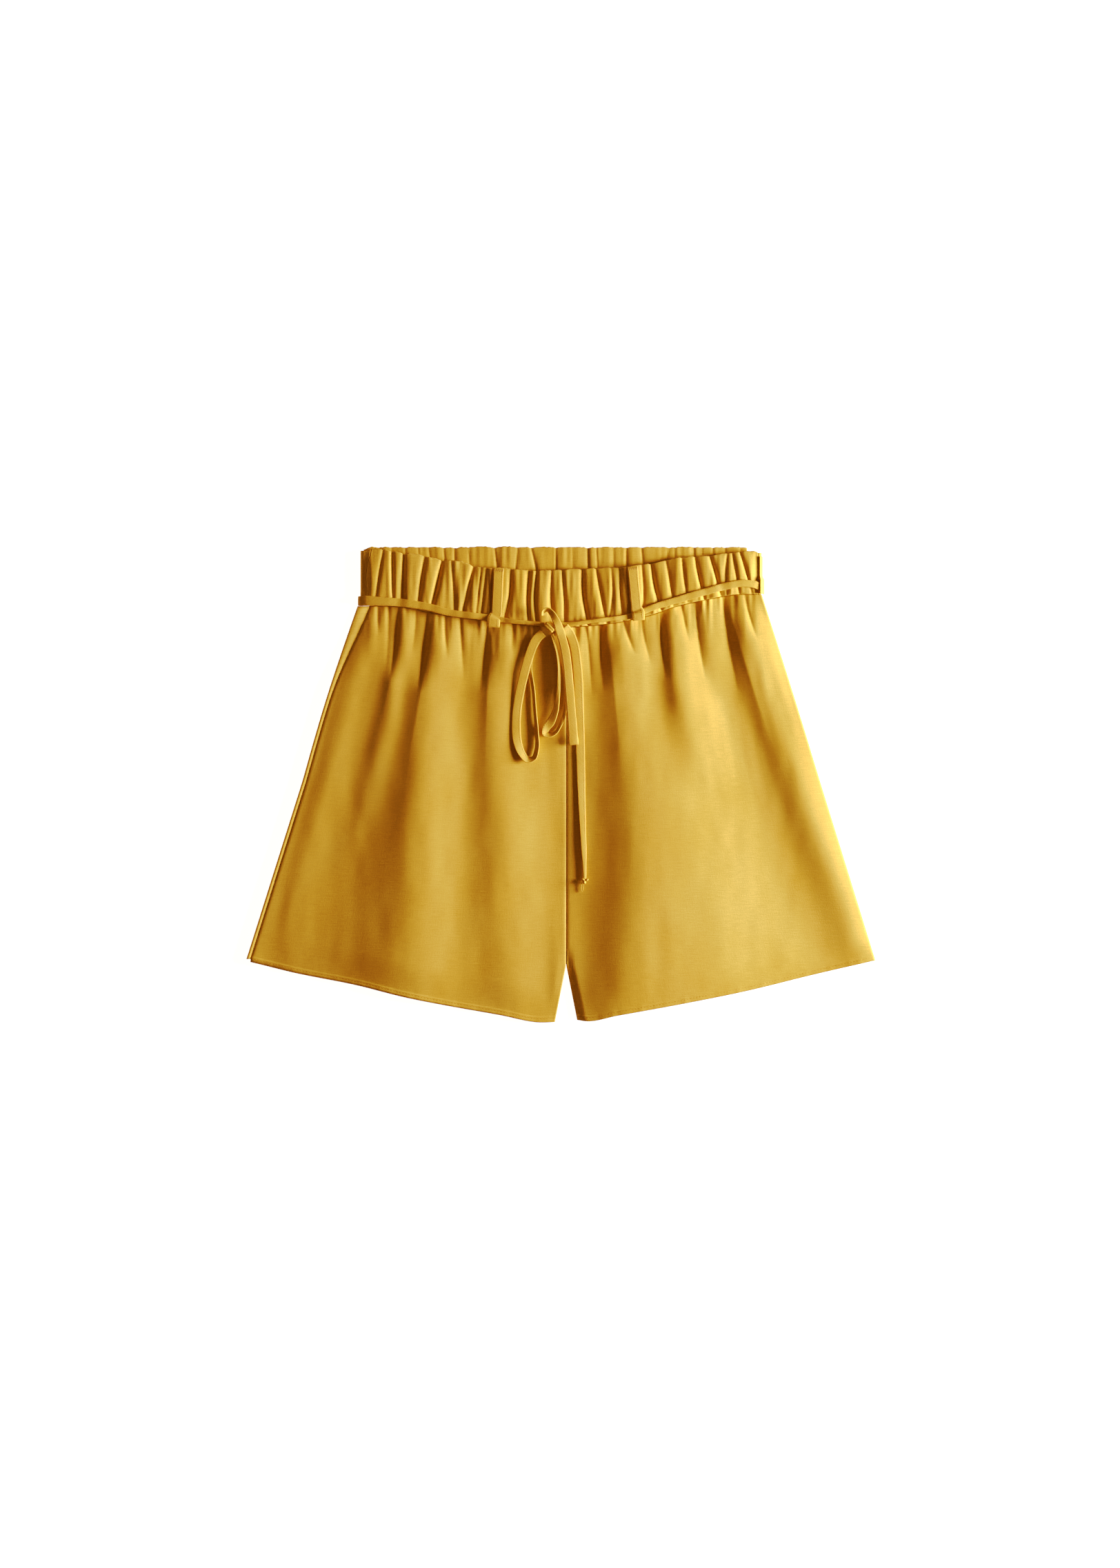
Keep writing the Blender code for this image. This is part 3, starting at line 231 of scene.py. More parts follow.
# The short gathers under the waist seam: each a trough whose path is at x_top, x_mid and x_end
# between y_top and y_end. Its depth, at the top and in the middle, is a share of the cloth's
# height there, and it ends in nothing. Its flanks reach left and right, and widen by spread.
Fold = namedtuple("Fold", "x_top x_mid x_end y_top y_end top mid left right spread")
LEG_FOLDS = (
    Fold(-159, -159, -158, 156, 130, 0.70, 0.45, 3, 4, 1.2),
    Fold(-150, -150, -152, 156, 98, 0.60, 0.40, 3, 5, 1.4),
    Fold(-141, -144, -148, 154, 90, 0.80, 0.70, 4, 4, 1.4),
    Fold(-126, -127, -129, 150, 112, 0.60, 0.35, 3, 4, 1.2),
    Fold(-116, -119, -124, 150, 80, 0.85, 0.80, 5, 4, 1.6),
    Fold(-101, -100, -98, 147, 108, 0.55, 0.35, 3, 4, 1.3),
    Fold(-87, -86, -84, 145, 92, 0.70, 0.45, 3, 4, 1.6),
    Fold(-64, -66, -70, 142, 80, 0.85, 0.80, 6, 5, 1.6),
    Fold(-42, -42, -43, 140, 116, 0.60, 0.40, 3, 4, 1.2),
    Fold(-24, -24, -25, 139, 116, 0.60, 0.40, 3, 4, 1.2),
    Fold(13, 13, 13, 138, 118, 0.60, 0.40, 3, 3, 1.2),
    Fold(22, 25, 27, 139, 76, 0.70, 0.55, 3, 4, 1.6),
    Fold(35, 35, 37, 141, 80, 0.88, 0.80, 5, 5, 1.6),
    Fold(54, 59, 65, 143, 112, 0.55, 0.40, 3, 4, 1.2),
    Fold(70, 73, 79, 146, 104, 0.60, 0.45, 4, 5, 1.2),
    Fold(86, 88, 91, 152, 90, 0.80, 0.70, 5, 5, 1.4),
    Fold(105, 108, 112, 156, 122, 0.50, 0.35, 3, 4, 1.2),
    Fold(117, 120, 126, 160, 90, 0.65, 0.45, 3, 4, 1.4),
    Fold(141, 146, 154, 164, 80, 0.85, 0.75, 5, 5, 1.6),
    Fold(160, 164, 171, 165, 125, 0.55, 0.35, 3, 4, 1.2),
)

# The noise's table, and where it is read from, so that no coordinate is less than 0
NOISE_CELLS = 97
NOISE_START = (500.3, 500.7)
# Fine ripples: height, the size of a bump across and down the cloth, and the seed of its noise
Ripple = namedtuple("Ripple", "height wide long seed")
WAIST_PUCKERS = (Ripple(0.75, 3.1, 22, 11), Ripple(0.45, 6.2, 30, 12))
DRAWN_FOLDS = (Ripple(0.45, 9, 60, 13),)
LEG_SLACK = (Ripple(0.35, 30, 70, 14), Ripple(0.16, 11, 26, 15))
HEM_ROPE = (Ripple(0.16, 4.2, 9, 16),)
CRUMPLE = (Ripple(1.0, 6, 40, 17),)
BAND_RIPPLES = (Ripple(0.30, 2.9, 24, 21), Ripple(0.35, 6.5, 30, 22))
BAND_PUCKERS = (Ripple(0.35, 2.4, 7, 23),)
BACK_BAND_RIPPLES = (Ripple(0.25, 3.3, 24, 31), Ripple(0.2, 7.5, 30, 32))
RAGGED_TOP = (Ripple(0.35, 1.9, 9, 41), Ripple(0.3, 5.0, 9, 42))
UNDER_STREAKS = (Ripple(1.0, 16, 90, 51), Ripple(0.5, 7, 40, 52))

# How far below the waist seam the puckers, the drawn folds and the creases underneath fade
PUCKER_REACH = 13
DRAWN_REACH = 55
UNDER_REACH = 60
# The creases underneath: their share far from the waist seam, how much more at it, and a limit
UNDER_SHARE = (0.35, 0.9)
UNDER_LIMIT = 1.2
UNDER_BAND_SHARE = 0.35

# How much the linen is crumpled all over, and how much more beside the wearer's left hip, from
# (x, y) and over two widths. The creases fan out by this share of their distance below FAN_TOP.
CRUMPLED = 0.05
CRUMPLED_HIP = 0.20
HIP_FROM = (110, -40)
HIP_OVER = (60, 120)
FAN = 0.0017
FAN_TOP = 150

# The share of their height that the crests have at the waist seam, and the cloth and its relief at
# the hem, each with the distance over which it grows to the whole
CREST_AT_WAIST = (0.3, 30)
PUFF_AT_HEM = (0.7, 30)
RELIEF_AT_HEM = (0.3, 20)
# How deep and wide the grooves of the side and centre seams are, how wide the side edges are
# rounded, how square to the hem a height above it is, and how much and how wide each inseam is
# drawn in, wearer's right and left
SEAM_DEPTH = 0.55
SEAM_HALF_WIDTH = 1.3
CENTRE_DEPTH = 0.5
CENTRE_HALF_WIDTH = 1.4
SIDE_ROUND = 24
HEM_SLANT = 0.98
DRAWN_INSEAM = (0.15, 0.75)
DRAWN_INSEAM_WIDTH = 8
# The inseams start to be drawn in this far above the crotch, and it takes this long. The centre
# seam's groove and turned edges fade over a few millimetres above the crotch.
DRAWN_ABOVE = 20
DRAWN_OVER = 30
GROOVE_FADE = 4
TURNED_FADE = 6
# A change along a leg: how much it comes to, the y where it starts, and over what distance
Change = namedtuple("Change", "size start reach")
# The side edges sink towards the waist and the hem
LEFT_SINKS = (Change(4.4, 40, 110), Change(3.6, -90, -90))
RIGHT_SINKS = (Change(2.8, 80, 60),)
# The strip of the back that shows at the wearer's right is wider at the waist than at the hem
STRIP_AT_HEM = 3.4
STRIP_WIDER = Change(7.2, 60, 96)
# The legs' inner edges are turned down in two steps, and above the crotch they also go aside,
# wearer's right and left
TURNED_DOWN = (0.9, 1.3)
TURNED_ASIDE = (-0.4, -1.6)

# Gathers of the waistbands: each a trough from the top edge, at x_top, to the waist seam
Gather = namedtuple("Gather", "x_top x_mid x_low depth left right")
BAND_GATHERS = (
    Gather(-154, -158, -161.6, 0.40, 2.5, 3.5),
    Gather(-146.6, -146, -145.6, 0.60, 2.5, 4),
    Gather(-136.2, -137, -138, 0.90, 3, 5),
    Gather(-118, -121.5, -124.5, 0.60, 3, 4.5),
    Gather(-102.9, -108, -113.4, 0.90, 3, 5),
    Gather(-95, -93, -92, 0.35, 3, 4),
    Gather(-75.6, -81, -85.8, 0.70, 3, 5),
    Gather(-69, -71.4, -74, 0.35, 2.5, 3),
    Gather(-64.4, -67, -69.7, 0.45, 2.5, 3),
    Gather(-58.8, -59.6, -60.6, 0.60, 2.5, 3),
    Gather(-43, -44.6, -50, 0.60, 3, 4.5),
    Gather(-27.6, -29, -28, 0.80, 4, 5),
    Gather(-20.7, -22.6, -21, 0.80, 3, 3),
    Gather(-8, -8.4, -5.6, 0.50, 3, 4),
    Gather(1.2, 3, 3, 0.60, 3, 4),
    Gather(18.6, 19.5, 24, 0.90, 4, 4),
    Gather(30.6, 35, 39.6, 0.55, 3, 4),
    Gather(43.8, 45, 41, 0.35, 3, 3),
    Gather(51.2, 51.8, 54.2, 0.60, 3, 3),
    Gather(57.6, 58.8, 60.6, 0.50, 2.5, 3),
    Gather(70.5, 72, 71, 0.45, 3, 4),
    Gather(78.4, 81.6, 87.6, 0.90, 3, 5),
    Gather(91.2, 95, 97.8, 0.45, 3, 4),
    Gather(105, 107.5, 110, 0.50, 3, 4),
    Gather(116.4, 120, 124.8, 0.70, 3, 4.5),
    Gather(129.6, 134.5, 139.2, 0.90, 3, 5),
    Gather(144.6, 142.8, 144, 0.35, 2.5, 3),
    Gather(148.8, 152, 155, 0.45, 2.5, 3),
    Gather(155.4, 161, 166.2, 0.60, 3, 4),
)
BACK_GATHERS = (
    Gather(-158, -158, -158, 0.40, 3, 4),
    Gather(-147, -147, -147, 0.40, 3, 4),
    Gather(-135, -135.5, -136, 0.50, 3, 4),
    Gather(-124, -122, -121, 0.50, 3, 4),
    Gather(-115, -112, -111, 0.45, 3, 4),
    Gather(-102, -100, -99, 0.60, 3, 4),
    Gather(-92.5, -92, -92, 0.85, 4, 5),
    Gather(-80, -79, -78, 0.35, 3, 4),
    Gather(-57.6, -55, -54, 0.85, 3, 4),
    Gather(-37.5, -39.6, -41, 0.45, 3, 4),
    Gather(-25.8, -21, -19, 0.85, 3, 4),
    Gather(-4.2, -4.2, -4, 0.85, 3, 4),
    Gather(10, 10.5, 11, 0.35, 5, 5),
    Gather(23.4, 24, 25, 0.85, 3, 4),
    Gather(31, 32, 33, 0.70, 3, 4),
    Gather(46, 46, 46, 0.35, 4, 4),
    Gather(57, 57, 57, 0.80, 3, 4),
    Gather(70, 72, 73, 0.75, 3, 4),
    Gather(93.4, 91, 90, 0.55, 3, 4),
    Gather(99, 99, 99, 0.35, 3, 4),
    Gather(115.8, 116.4, 117, 0.60, 3, 4),
    Gather(123, 123, 123, 0.35, 3, 4),
    Gather(132, 133, 134, 0.60, 3, 4),
    Gather(142.8, 144, 145, 0.70, 3, 4),
    Gather(156, 156, 156, 0.45, 3, 4),
    Gather(163, 163, 163, 0.45, 3, 4),
)

# Routes of the tie: centre line, its lift above the cloth and its roll in degrees, 0 lying flat
Stop = namedtuple("Stop", "x y lift roll")
TIE_RIGHT_FRONT = (
    Stop(-14.5, 138.6, 1.9, 20), Stop(-20, 139.4, 2.0, 30), Stop(-30, 140.4, 2.1, 36),
    Stop(-40, 141.3, 2.0, 30), Stop(-46, 142, 1.6, 20), Stop(-53, 143.3, 1.1, 6),
    Stop(-66, 145.3, 0.9, 8), Stop(-81, 147, 0.9, 10), Stop(-99, 149.7, 0.9, 8),
    Stop(-113, 153.6, 0.8, 4), Stop(-140, 157.9, 0.8, 0), Stop(-169, 159.8, 0.8, 0),
)
TIE_LEFT_FRONT = (
    Stop(-4.9, 138.2, 2.2, 10), Stop(4, 138.8, 1.4, 10), Stop(12, 139.6, 1.8, 24),
    Stop(19, 140.6, 2.1, 36), Stop(28, 141.8, 2.2, 38), Stop(38, 143.0, 2.1, 34),
    Stop(46, 143.9, 1.8, 22), Stop(54, 144.8, 1.2, 8), Stop(62, 146.4, 0.9, 0),
    Stop(78, 153.0, 0.9, 8), Stop(99, 159.6, 0.9, 6), Stop(126, 167.4, 0.8, 0),
    Stop(146.4, 172.8, 0.8, 0), Stop(158, 174.6, 0.8, 0), Stop(168.4, 173.6, 0.8, 0),
)
LOOP_LEFT = (
    Stop(-15.4, 131.6, 2.6, 0), Stop(-20.6, 126.7, 2.6, 0), Stop(-26.6, 113.8, 2.7, 0),
    Stop(-31.4, 97.2, 2.8, 0), Stop(-35.4, 80.0, 1.7, 0), Stop(-38.0, 63.5, 0.9, 0),
    Stop(-38.6, 49.0, 0.9, 0), Stop(-37.4, 37.0, 1.2, 6), Stop(-33.6, 27.0, 1.8, 20),
    Stop(-28.4, 21.4, 2.4, 36), Stop(-23.6, 22.8, 2.6, 42), Stop(-20.9, 30.0, 2.6, 46),
    Stop(-20.9, 47.0, 2.3, 46), Stop(-22.4, 66.0, 2.1, 46), Stop(-23.9, 84.0, 1.9, 40),
    Stop(-25.6, 94.0, 1.3, 24), Stop(-26.4, 102.0, 0.9, 6), Stop(-25.0, 112.0, 0.9, 0),
    Stop(-21.4, 121.0, 0.9, 0), Stop(-16.6, 129.2, 0.9, 0),
)
LOOP_MIDDLE = (
    Stop(-7.6, 130.6, 2.8, 20), Stop(-5.6, 124.2, 2.9, 30), Stop(-2.7, 113.0, 2.9, 34),
    Stop(-1.4, 100.2, 2.9, 30), Stop(-1.6, 87.5, 2.8, 10), Stop(-2.6, 76.0, 2.7, -12),
    Stop(-4.4, 64.5, 2.5, -18), Stop(-8.4, 55.0, 2.2, -10), Stop(-12.8, 48.4, 2.0, 14),
    Stop(-13.6, 44.0, 2.0, 34), Stop(-9.8, 42.8, 2.0, 42), Stop(-4.4, 45.2, 2.0, 42),
    Stop(-0.6, 51.0, 1.7, 32), Stop(2.4, 58.6, 1.2, 8), Stop(4.6, 70.0, 0.9, 0),
    Stop(5.0, 84.0, 0.9, 0), Stop(3.4, 102.0, 0.9, 0), Stop(-0.4, 118.0, 0.9, 0),
    Stop(-4.6, 129.4, 0.9, 0),
)
TAIL_SHORT = (
    Stop(-15.2, 146.2, 4.8, -50), Stop(-14.8, 149.8, 5.4, -56), Stop(-11.8, 151.4, 6.2, -50),
    Stop(-8.2, 148.8, 7.0, -34), Stop(-4.8, 143.4, 7.4, -14), Stop(-2.2, 137.6, 6.8, 0),
    Stop(0.4, 129.4, 5.2, 0), Stop(3.4, 117.9, 4.2, 0), Stop(5.6, 104.0, 4.0, 0),
    Stop(7.0, 88.8, 3.8, 0), Stop(8.4, 72.4, 3.6, 0), Stop(9.9, 53.4, 3.3, 0),
    Stop(11.3, 34.4, 3.0, 0),
)
TAIL_LONG = (
    Stop(3.0, 136.6, 4.4, 0), Stop(7.3, 131.8, 3.6, 0), Stop(11.1, 122.9, 2.0, 0),
    Stop(13.7, 107.8, 1.1, 0), Stop(15.2, 90.0, 0.9, 0), Stop(16.0, 70.0, 0.9, 0),
    Stop(16.6, 50.0, 0.9, 0), Stop(17.1, 30.0, 0.9, 2), Stop(18.0, -4.0, 0.9, 4),
    Stop(19.6, -46.0, 1.0, 8), Stop(20.6, -68.0, 1.1, 10), Stop(20.9, -82.0, 1.1, 10),
)

# A tape's width and wall by the share of its length: where it curls in it is narrow and thick
Girth = namedtuple("Girth", "shares widths walls")
TIE_RIGHT_GIRTH = Girth(
    (0.0, 0.17, 0.25, 0.40, 0.80, 0.92, 1.0),
    (3.8, 3.9, 5.2, 5.7, 6.8, 8.2, 8.2),
    (2.0, 2.0, 1.4, 1.1, 0.9, 0.9, 0.9),
)
TIE_LEFT_GIRTH = Girth(
    (0.0, 0.10, 0.27, 0.36, 0.55, 1.0), (5.0, 3.8, 3.8, 5.2, 5.7, 6.4), (1.4, 2.0, 2.0, 1.4, 1.1, 0.9)
)
LOOP_LEFT_GIRTH = Girth(
    (0.0, 0.42, 0.50, 0.58, 0.68, 0.90, 1.0),
    (7.8, 7.8, 6.4, 5.0, 3.8, 3.4, 4.0),
    (0.9, 0.9, 1.0, 1.2, 1.4, 1.4, 1.2),
)
LOOP_MIDDLE_GIRTH = Girth(
    (0.0, 0.24, 0.33, 0.42, 0.49, 0.55, 0.68, 0.80, 1.0),
    (3.2, 3.0, 4.4, 7.4, 5.6, 3.4, 3.2, 5.6, 7.0),
    (1.3, 1.4, 1.2, 0.9, 1.0, 1.3, 1.4, 1.0, 0.9),
)
TAIL_SHORT_GIRTH = Girth(
    (0.0, 0.12, 0.22, 0.93, 0.96, 0.99, 1.0),
    (5.0, 6.0, 7.6, 7.9, 8.9, 8.6, 7.8),
    (1.0, 0.9, 0.9, 0.9, 1.9, 1.7, 0.9),
)
BELT_LOOP_GIRTH = Girth(
    (0.0, 0.74, 0.80, 0.86, 0.97, 1.0),
    (9.0, 9.0, 10.4, 11.2, 11.0, 10.2),
    (0.9, 0.9, 1.3, 1.9, 1.7, 0.8),
)
TAIL_LONG_GIRTH = Girth(
    (0.0, 0.48, 0.66, 0.88, 0.94, 1.0), (8.0, 7.8, 6.8, 4.9, 3.4, 2.6), (0.9, 0.9, 1.0, 1.4, 1.6, 1.6)
)

# The knot: its place, how far its middle lies below that and above the cloth, its width, length
# and height, how far it leans, and how many folds cross it
KNOT_AT = (-9.6, 137.8)
KNOT_DROP = 1.4
KNOT_RISE = 3.1
KNOT_LUMP = (5.8, 10.6, 5.6)
KNOT_LEAN = 46.0
KNOT_FOLDS = 8.0
KNOT_FOLD_HEIGHT = 0.045
KNOT_UNEVEN = Ripple(0.02, 1 / 3, 1 / 2, 81)
KNOT_STEPS = (65, 41)
# Millimetres of its cloth to a radian round it and along it
KNOT_CLOTH = (4, 6)
KNOT_SQUARE = -0.4
# The thread on the long tail: radius of its knot and of its hanging loop
THREAD_RADII = (0.75, 0.32)

# Belt loops on the front: centre line from the top edge of the band down over the tie
FrontLoop = namedtuple("FrontLoop", "name x_top y_top x_low y_low foot_shift")
FRONT_LOOPS = (
    FrontLoop("belt_loop_front_right", -53.7, 187.6, -56.2, 136.4, -2.2),
    FrontLoop("belt_loop_front_left", 62.2, 189.0, 66.6, 142.2, 1.0),
)
BackLoop = namedtuple("BackLoop", "name x")
BACK_LOOPS = (BackLoop("belt_loop_back_right", -78.0), BackLoop("belt_loop_back_left", 90.0))
SIDE_LOOP = "belt_loop_side_left"
SIDE_LOOP_Y = (198.0, 165.6)
# Degrees round the edge: it starts on the front and ends underneath
SIDE_LOOP_TURN = (74, -32)
SIDE_LOOP_SHELL = 0.8
SIDE_LOOP_STEPS = (40, 14)
SIDE_LOOP_LIFT = 0.3
LOOP_STEPS = 64
BACK_LOOP_STEPS = 40
BACK_LOOP_DROP = 2
# From which share of a front loop's length, and over how much of it, its foot goes aside, and
# from which it lies folded double, with the height that this adds
FOOT_ASIDE = (0.76, 0.10)
FOOT_DOUBLE = (0.80, 0.10)
FOOT_LIFT = TAPE_WALL + 4 * SEAM_GAP
# A front loop's points that are tacked
TACKED = (2, 3)

# The weave: metres from thread to thread, and how uneven its threads are
WEAVE_PITCH = 0.00055
WEAVE_UNEVEN = (("Distortion", 1.6), ("Detail", 1.0), ("Detail Scale", 0.35))
WEAVE_RELIEF = 0.00016
LINEN_LIGHT = (0.66, 0.45, 0.080)
LINEN_DARK = (0.60, 0.39, 0.062)
BAND_LIGHT = (0.65, 0.435, 0.076)
BAND_DARK = (0.59, 0.38, 0.058)
TAPE_LIGHT = (0.72, 0.49, 0.092)
TAPE_DARK = (0.66, 0.43, 0.070)
THREAD_COLOUR = (0.56, 0.35, 0.048)

# Blotches of the linen: size along and across the threads, metres, and the range of the noise that
# becomes the darkest to the lightest tint, with its share of the relief
Blotch = namedtuple("Blotch", "size low high darkest lightest relief")
SLUBS = Blotch((0.011, 0.0008), 0.30, 0.72, 0.93, 1.06, 1.1)
THREADS = Blotch((0.0007, 0.013), 0.30, 0.70, 0.97, 1.03, 0.6)
GRAIN = Blotch((0.0011, 0.0011), 0.25, 0.75, 0.92, 1.08, 0.9)
DYE_SIZE = (0.045, 0.07)
DYE_DETAIL = 3.0
# The range of the noise that the dye and the roughness use, and the roughness at its two ends
NOISE_RANGE = (0.3, 0.7)
ROUGHNESS = (0.95, 0.80)
RELIEF_STRENGTH = 0.5
WEAVE_SHARE = 0.24
BIAS = np.pi / 4
SHEEN = {
    "Specular IOR Level": 0.10,
    "Sheen Weight": 0.04,
    "Sheen Roughness": 0.5,
    "Sheen Tint": (1.0, 0.85, 0.5, 1.0),
}

# The cloth's own widths, mm, which the weave is laid out on
HEM_SPAN = 275
BAND_SPAN = 480
BAND_SIDE_SPAN = 16
# Where each piece starts on that cloth
LEFT_LEG_START = 300
RIGHT_BACK_START = 600
LEFT_BACK_START = 900
BACK_BAND_START = 600
BACK_BAND_OUTER_START = 1200

# A tape's section: how square it is across and up, how much its width and its wall vary, with the
# size and the seed of that noise, and the groove that its stitches draw in. Each tape adds a seed.
TIE_SEED = 5
TIE_BACK_SEED = 8
FRONT_LOOP_SEED = 10
BACK_LOOP_SEED = 20
TAPE_SIDES = 20
TAPE_SQUARE = (0.45, 0.7)
TAPE_UNEVEN = (Ripple(0.035, 7, 9, 60), Ripple(0.12, 3, 9, 70))
TAPE_GROOVE = 0.22
TAPE_GROOVE_WIDTH = 0.12
TAPE_STITCH_LINE = 0.7
TAPE_STITCH_INSET = 1.2
LOOP_STITCH_INSET = 1.1
TAPE_STITCH_PITCH = 2.1
TAPE_STITCH_SINK = 0.08
TAPE_STITCH_LENGTH = 1.4
TIE_STEPS = 170
# The tie round the band's side edge: its steps, and how much it stands off on top
EDGE_TURNS = 15
EDGE_LIFT = 0.4
THREAD_SIDES = 8
# The circle that carries the tie and the bow, and how much it's softened
TAPE_REACH = 4.2
TAPE_SOFTENED = 1.5
# Neighbours on each side that a height is averaged with, along the tie and along a belt loop
TIE_EVENED = 3
LOOP_EVENED = 4

# The free ends: node, route, points, what ends it, and the edge that is stitched
FREE_ENDS = (
    ("tie_loop_left", LOOP_LEFT, LOOP_LEFT_GIRTH, 230, "object", -1),
    ("tie_loop_middle", LOOP_MIDDLE, LOOP_MIDDLE_GIRTH, 210, "object", 1),
    ("tie_tail_short", TAIL_SHORT, TAIL_SHORT_GIRTH, 120, "bare", 1),
    ("tie_tail_long", TAIL_LONG, TAIL_LONG_GIRTH, 220, "knot", -1),
)

# The stage: metres, watts and degrees
FLOOR_REACH = 60.0
FLOOR_GAP = 0.0003
FLOOR_ROUGHNESS = 0.8
THREAD_ROUGHNESS = 0.6
FLOOR_COLOUR = (0.90, 0.90, 0.89)
FLOOR_GLOW = 1.05
KEY_POWER = 45.0
KEY_SIZE = 0.5
KEY_DISTANCE = 1.3
KEY_ELEVATION = 15.0
KEY_AZIMUTH = 4.0
FILL = 0.11
FILL_COLOUR = (1.0, 0.72, 0.40)
# The camera's tone, one curve a colour: the shade keeps its red and loses its blue
TONES = (
    ((0, 0), (0.09, 0.16), (0.19, 0.35), (0.47, 0.61), (0.79, 0.785), (1, 1)),
    ((0, 0), (0.08, 0.078), (0.25, 0.305), (0.53, 0.56), (1, 1)),
    ((0, 0), (0.03, 0.012), (0.07, 0.076), (0.12, 0.175), (1, 1)),
)


# ---- curves and heights ----------------------------------------------------------------


def smooth(stations, values, at):
    """Values on a smooth curve through a few rows, read at the given stations."""
    stations = np.asarray(stations, float)
    values = np.asarray(values, float)
    slopes = np.gradient(values, stations, axis=0)
    row = np.clip(np.searchsorted(stations, at, side="right") - 1, 0, len(stations) - 2)
    step = stations[row + 1] - stations[row]
    t = (at - stations[row]) / step
    if values.ndim > 1:
        t = t[..., None]
        step = step[..., None]
    return (
        (1 + 2 * t) * (1 - t) ** 2 * values[row]
        + t * (1 - t) ** 2 * step * slopes[row]
        + t * t * (3 - 2 * t) * values[row + 1]
        + t * t * (t - 1) * step * slopes[row + 1]
    )


def stations_along(points):
    """The distance along a line of points to each of them."""
    steps = np.linalg.norm(np.diff(points, axis=0), axis=1)
    return np.concatenate([[0.0], np.cumsum(steps)])


def along(points, count):
    """Evenly spaced points on a smooth curve through a few points."""
    points = np.asarray(points, float)
    stations = stations_along(points[:, :2])
    return smooth(stations, points, np.linspace(0, stations[-1], count))


def evened(values, half):
    """Values averaged with half as many neighbours on each side."""
    count = 2 * half + 1
    return np.convolve(np.pad(values, half, mode="edge"), np.ones(count) / count, mode="valid")


def ease(t):
    """A soft step from 0 to 1."""
    t = np.clip(t, 0, 1)
    return t * t * (3 - 2 * t)


def grown(start, reach, at):
    """A soft step from start to 1 over a reach."""
    return start + (1 - start) * ease(at / reach)


def curve_y(points, x):
    """The height of an edge curve at x, level past its ends."""
    xs = [p[0] for p in points]
    return smooth(xs, [p[1] for p in points], np.clip(x, xs[0], xs[-1]))


def side_x(y, waist_x, hem_corner):
    """The folded side edge of a leg: nearly straight, a little full at the hip."""
    down = (WAIST_Y_LEFT - y) / (WAIST_Y_LEFT - hem_corner[1])
    bulge = HIP_BULGE[waist_x > 0] * np.sin(np.pi * np.clip(down * 2, 0, 1))
    return waist_x + (hem_corner[0] - waist_x) * down + np.sign(waist_x) * bulge


def bell(s, left, right, sharpness):
    """The section of a trough: 1 at its line, fading over left and right."""
    return np.exp(-((np.abs(s) / np.where(s < 0, left, right)) ** sharpness))


def fold_depth(fold, x, y):
    """How much of the height one fold takes away at x, y."""
    t = np.clip((fold.y_top - y) / (fold.y_top - fold.y_end), 0, 1)
    path = at_third((fold.x_top, fold.x_mid, fold.x_end), t)
    depth = np.interp(t, TOP_MIDDLE_END, (fold.top, fold.mid, 0))
    wide = 1 + (fold.spread - 1) * t
    return depth * bell(x - path, fold.left * wide, fold.right * wide, FOLD_SHARPNESS)


def at_third(values, t):
    """A value that is given at the top, middle and end of a fold, at the share t of its length."""
    top, middle, end = values
    return (1 - t) * (1 - 2 * t) * top + 4 * t * (1 - t) * middle + t * (2 * t - 1) * end


def flank(s):
    """A soft step from 0 to 1 round s = 0."""
    return 0.5 + 0.5 * np.tanh(s)


def crest_height(crest, x, y):
    """How high one large fold of the legs stands at x, y."""
    t = np.clip((crest.y_top - y) / (crest.y_top - crest.y_end), 0, 1)
    climb = (x - at_third(crest.rise, t)) / np.interp(t, TOP_MIDDLE_END, crest.steep)
    descent = (x - at_third(crest.fall, t)) / np.interp(t, TOP_MIDDLE_END, crest.gentle)
    height = np.interp(t, TOP_MIDDLE_END, crest.height)
    crisp = np.exp(np.minimum(climb - CRISP_AT, 0) / CRISP_LENGTH)
    share = CRISP_SHARE * (1 - ease((t - CRISP_FADE[0]) / CRISP_FADE[1]))
    return height * np.maximum(share * crisp + (1 - share) * flank(climb) - flank(descent), 0)


def gather_height(gathers, x, down, pillow):
    """Puffs between the gathers of a band; down runs 0 to 1 from its top to its seam."""
    full = np.sin(np.pi * np.clip(down, 0, 1)) ** PILLOW_FULLNESS
    puff = pillow * (PILLOW_AT_EDGE + (1 - PILLOW_AT_EDGE) * full)
    for gather in gathers:
        path = smooth(TOP_MIDDLE_END, (gather.x_top, gather.x_mid, gather.x_low), down)
        left = gather.left * GATHER_NARROWING
        right = gather.right * GATHER_NARROWING
        puff = puff * (1 - gather.depth * bell(x - path, left, right, GATHER_SHARPNESS))
    return puff


def tie_back_y(x):
    """The tie's centre line behind the waist."""
    return np.interp(x, (WAIST_LEFT, WAIST_RIGHT), TIE_BACK_Y)


def back_band_top(x):
    """The top edge of the back waistband, rounded at the wearer's right."""
    return BACK_TOP - CORNER_DROP * (1 - ease((x - WAIST_LEFT - BAND_EDGE / 2) / CORNER_REACH))


def back_band_low(x):
    """The lower edge of the back waistband."""
    return np.interp(x, (WAIST_LEFT, WAIST_RIGHT), BACK_BAND_LOW_Y)


def close_to(distance, half_width, beside):
    """1 over a strip and just beside it, and then softly down to 0."""
    return ease(1 - (distance - half_width - beside[0]) / beside[1])


def under_back(x, y):
    """The underside of the back waistband, raised where the tie and the loops pass under it."""
    raised = close_to(np.abs(y - tie_back_y(x)), TIE_WIDTH / 2, BESIDE_TIE) * UNDER_TIE
    for loop in BACK_LOOPS:
        near = close_to(np.abs(x - loop.x), BELT_LOOP_WIDTH / 2, BESIDE_LOOP)
        raised = raised + near * (UNDER_LOOP - UNDER_TIE)
    return raised


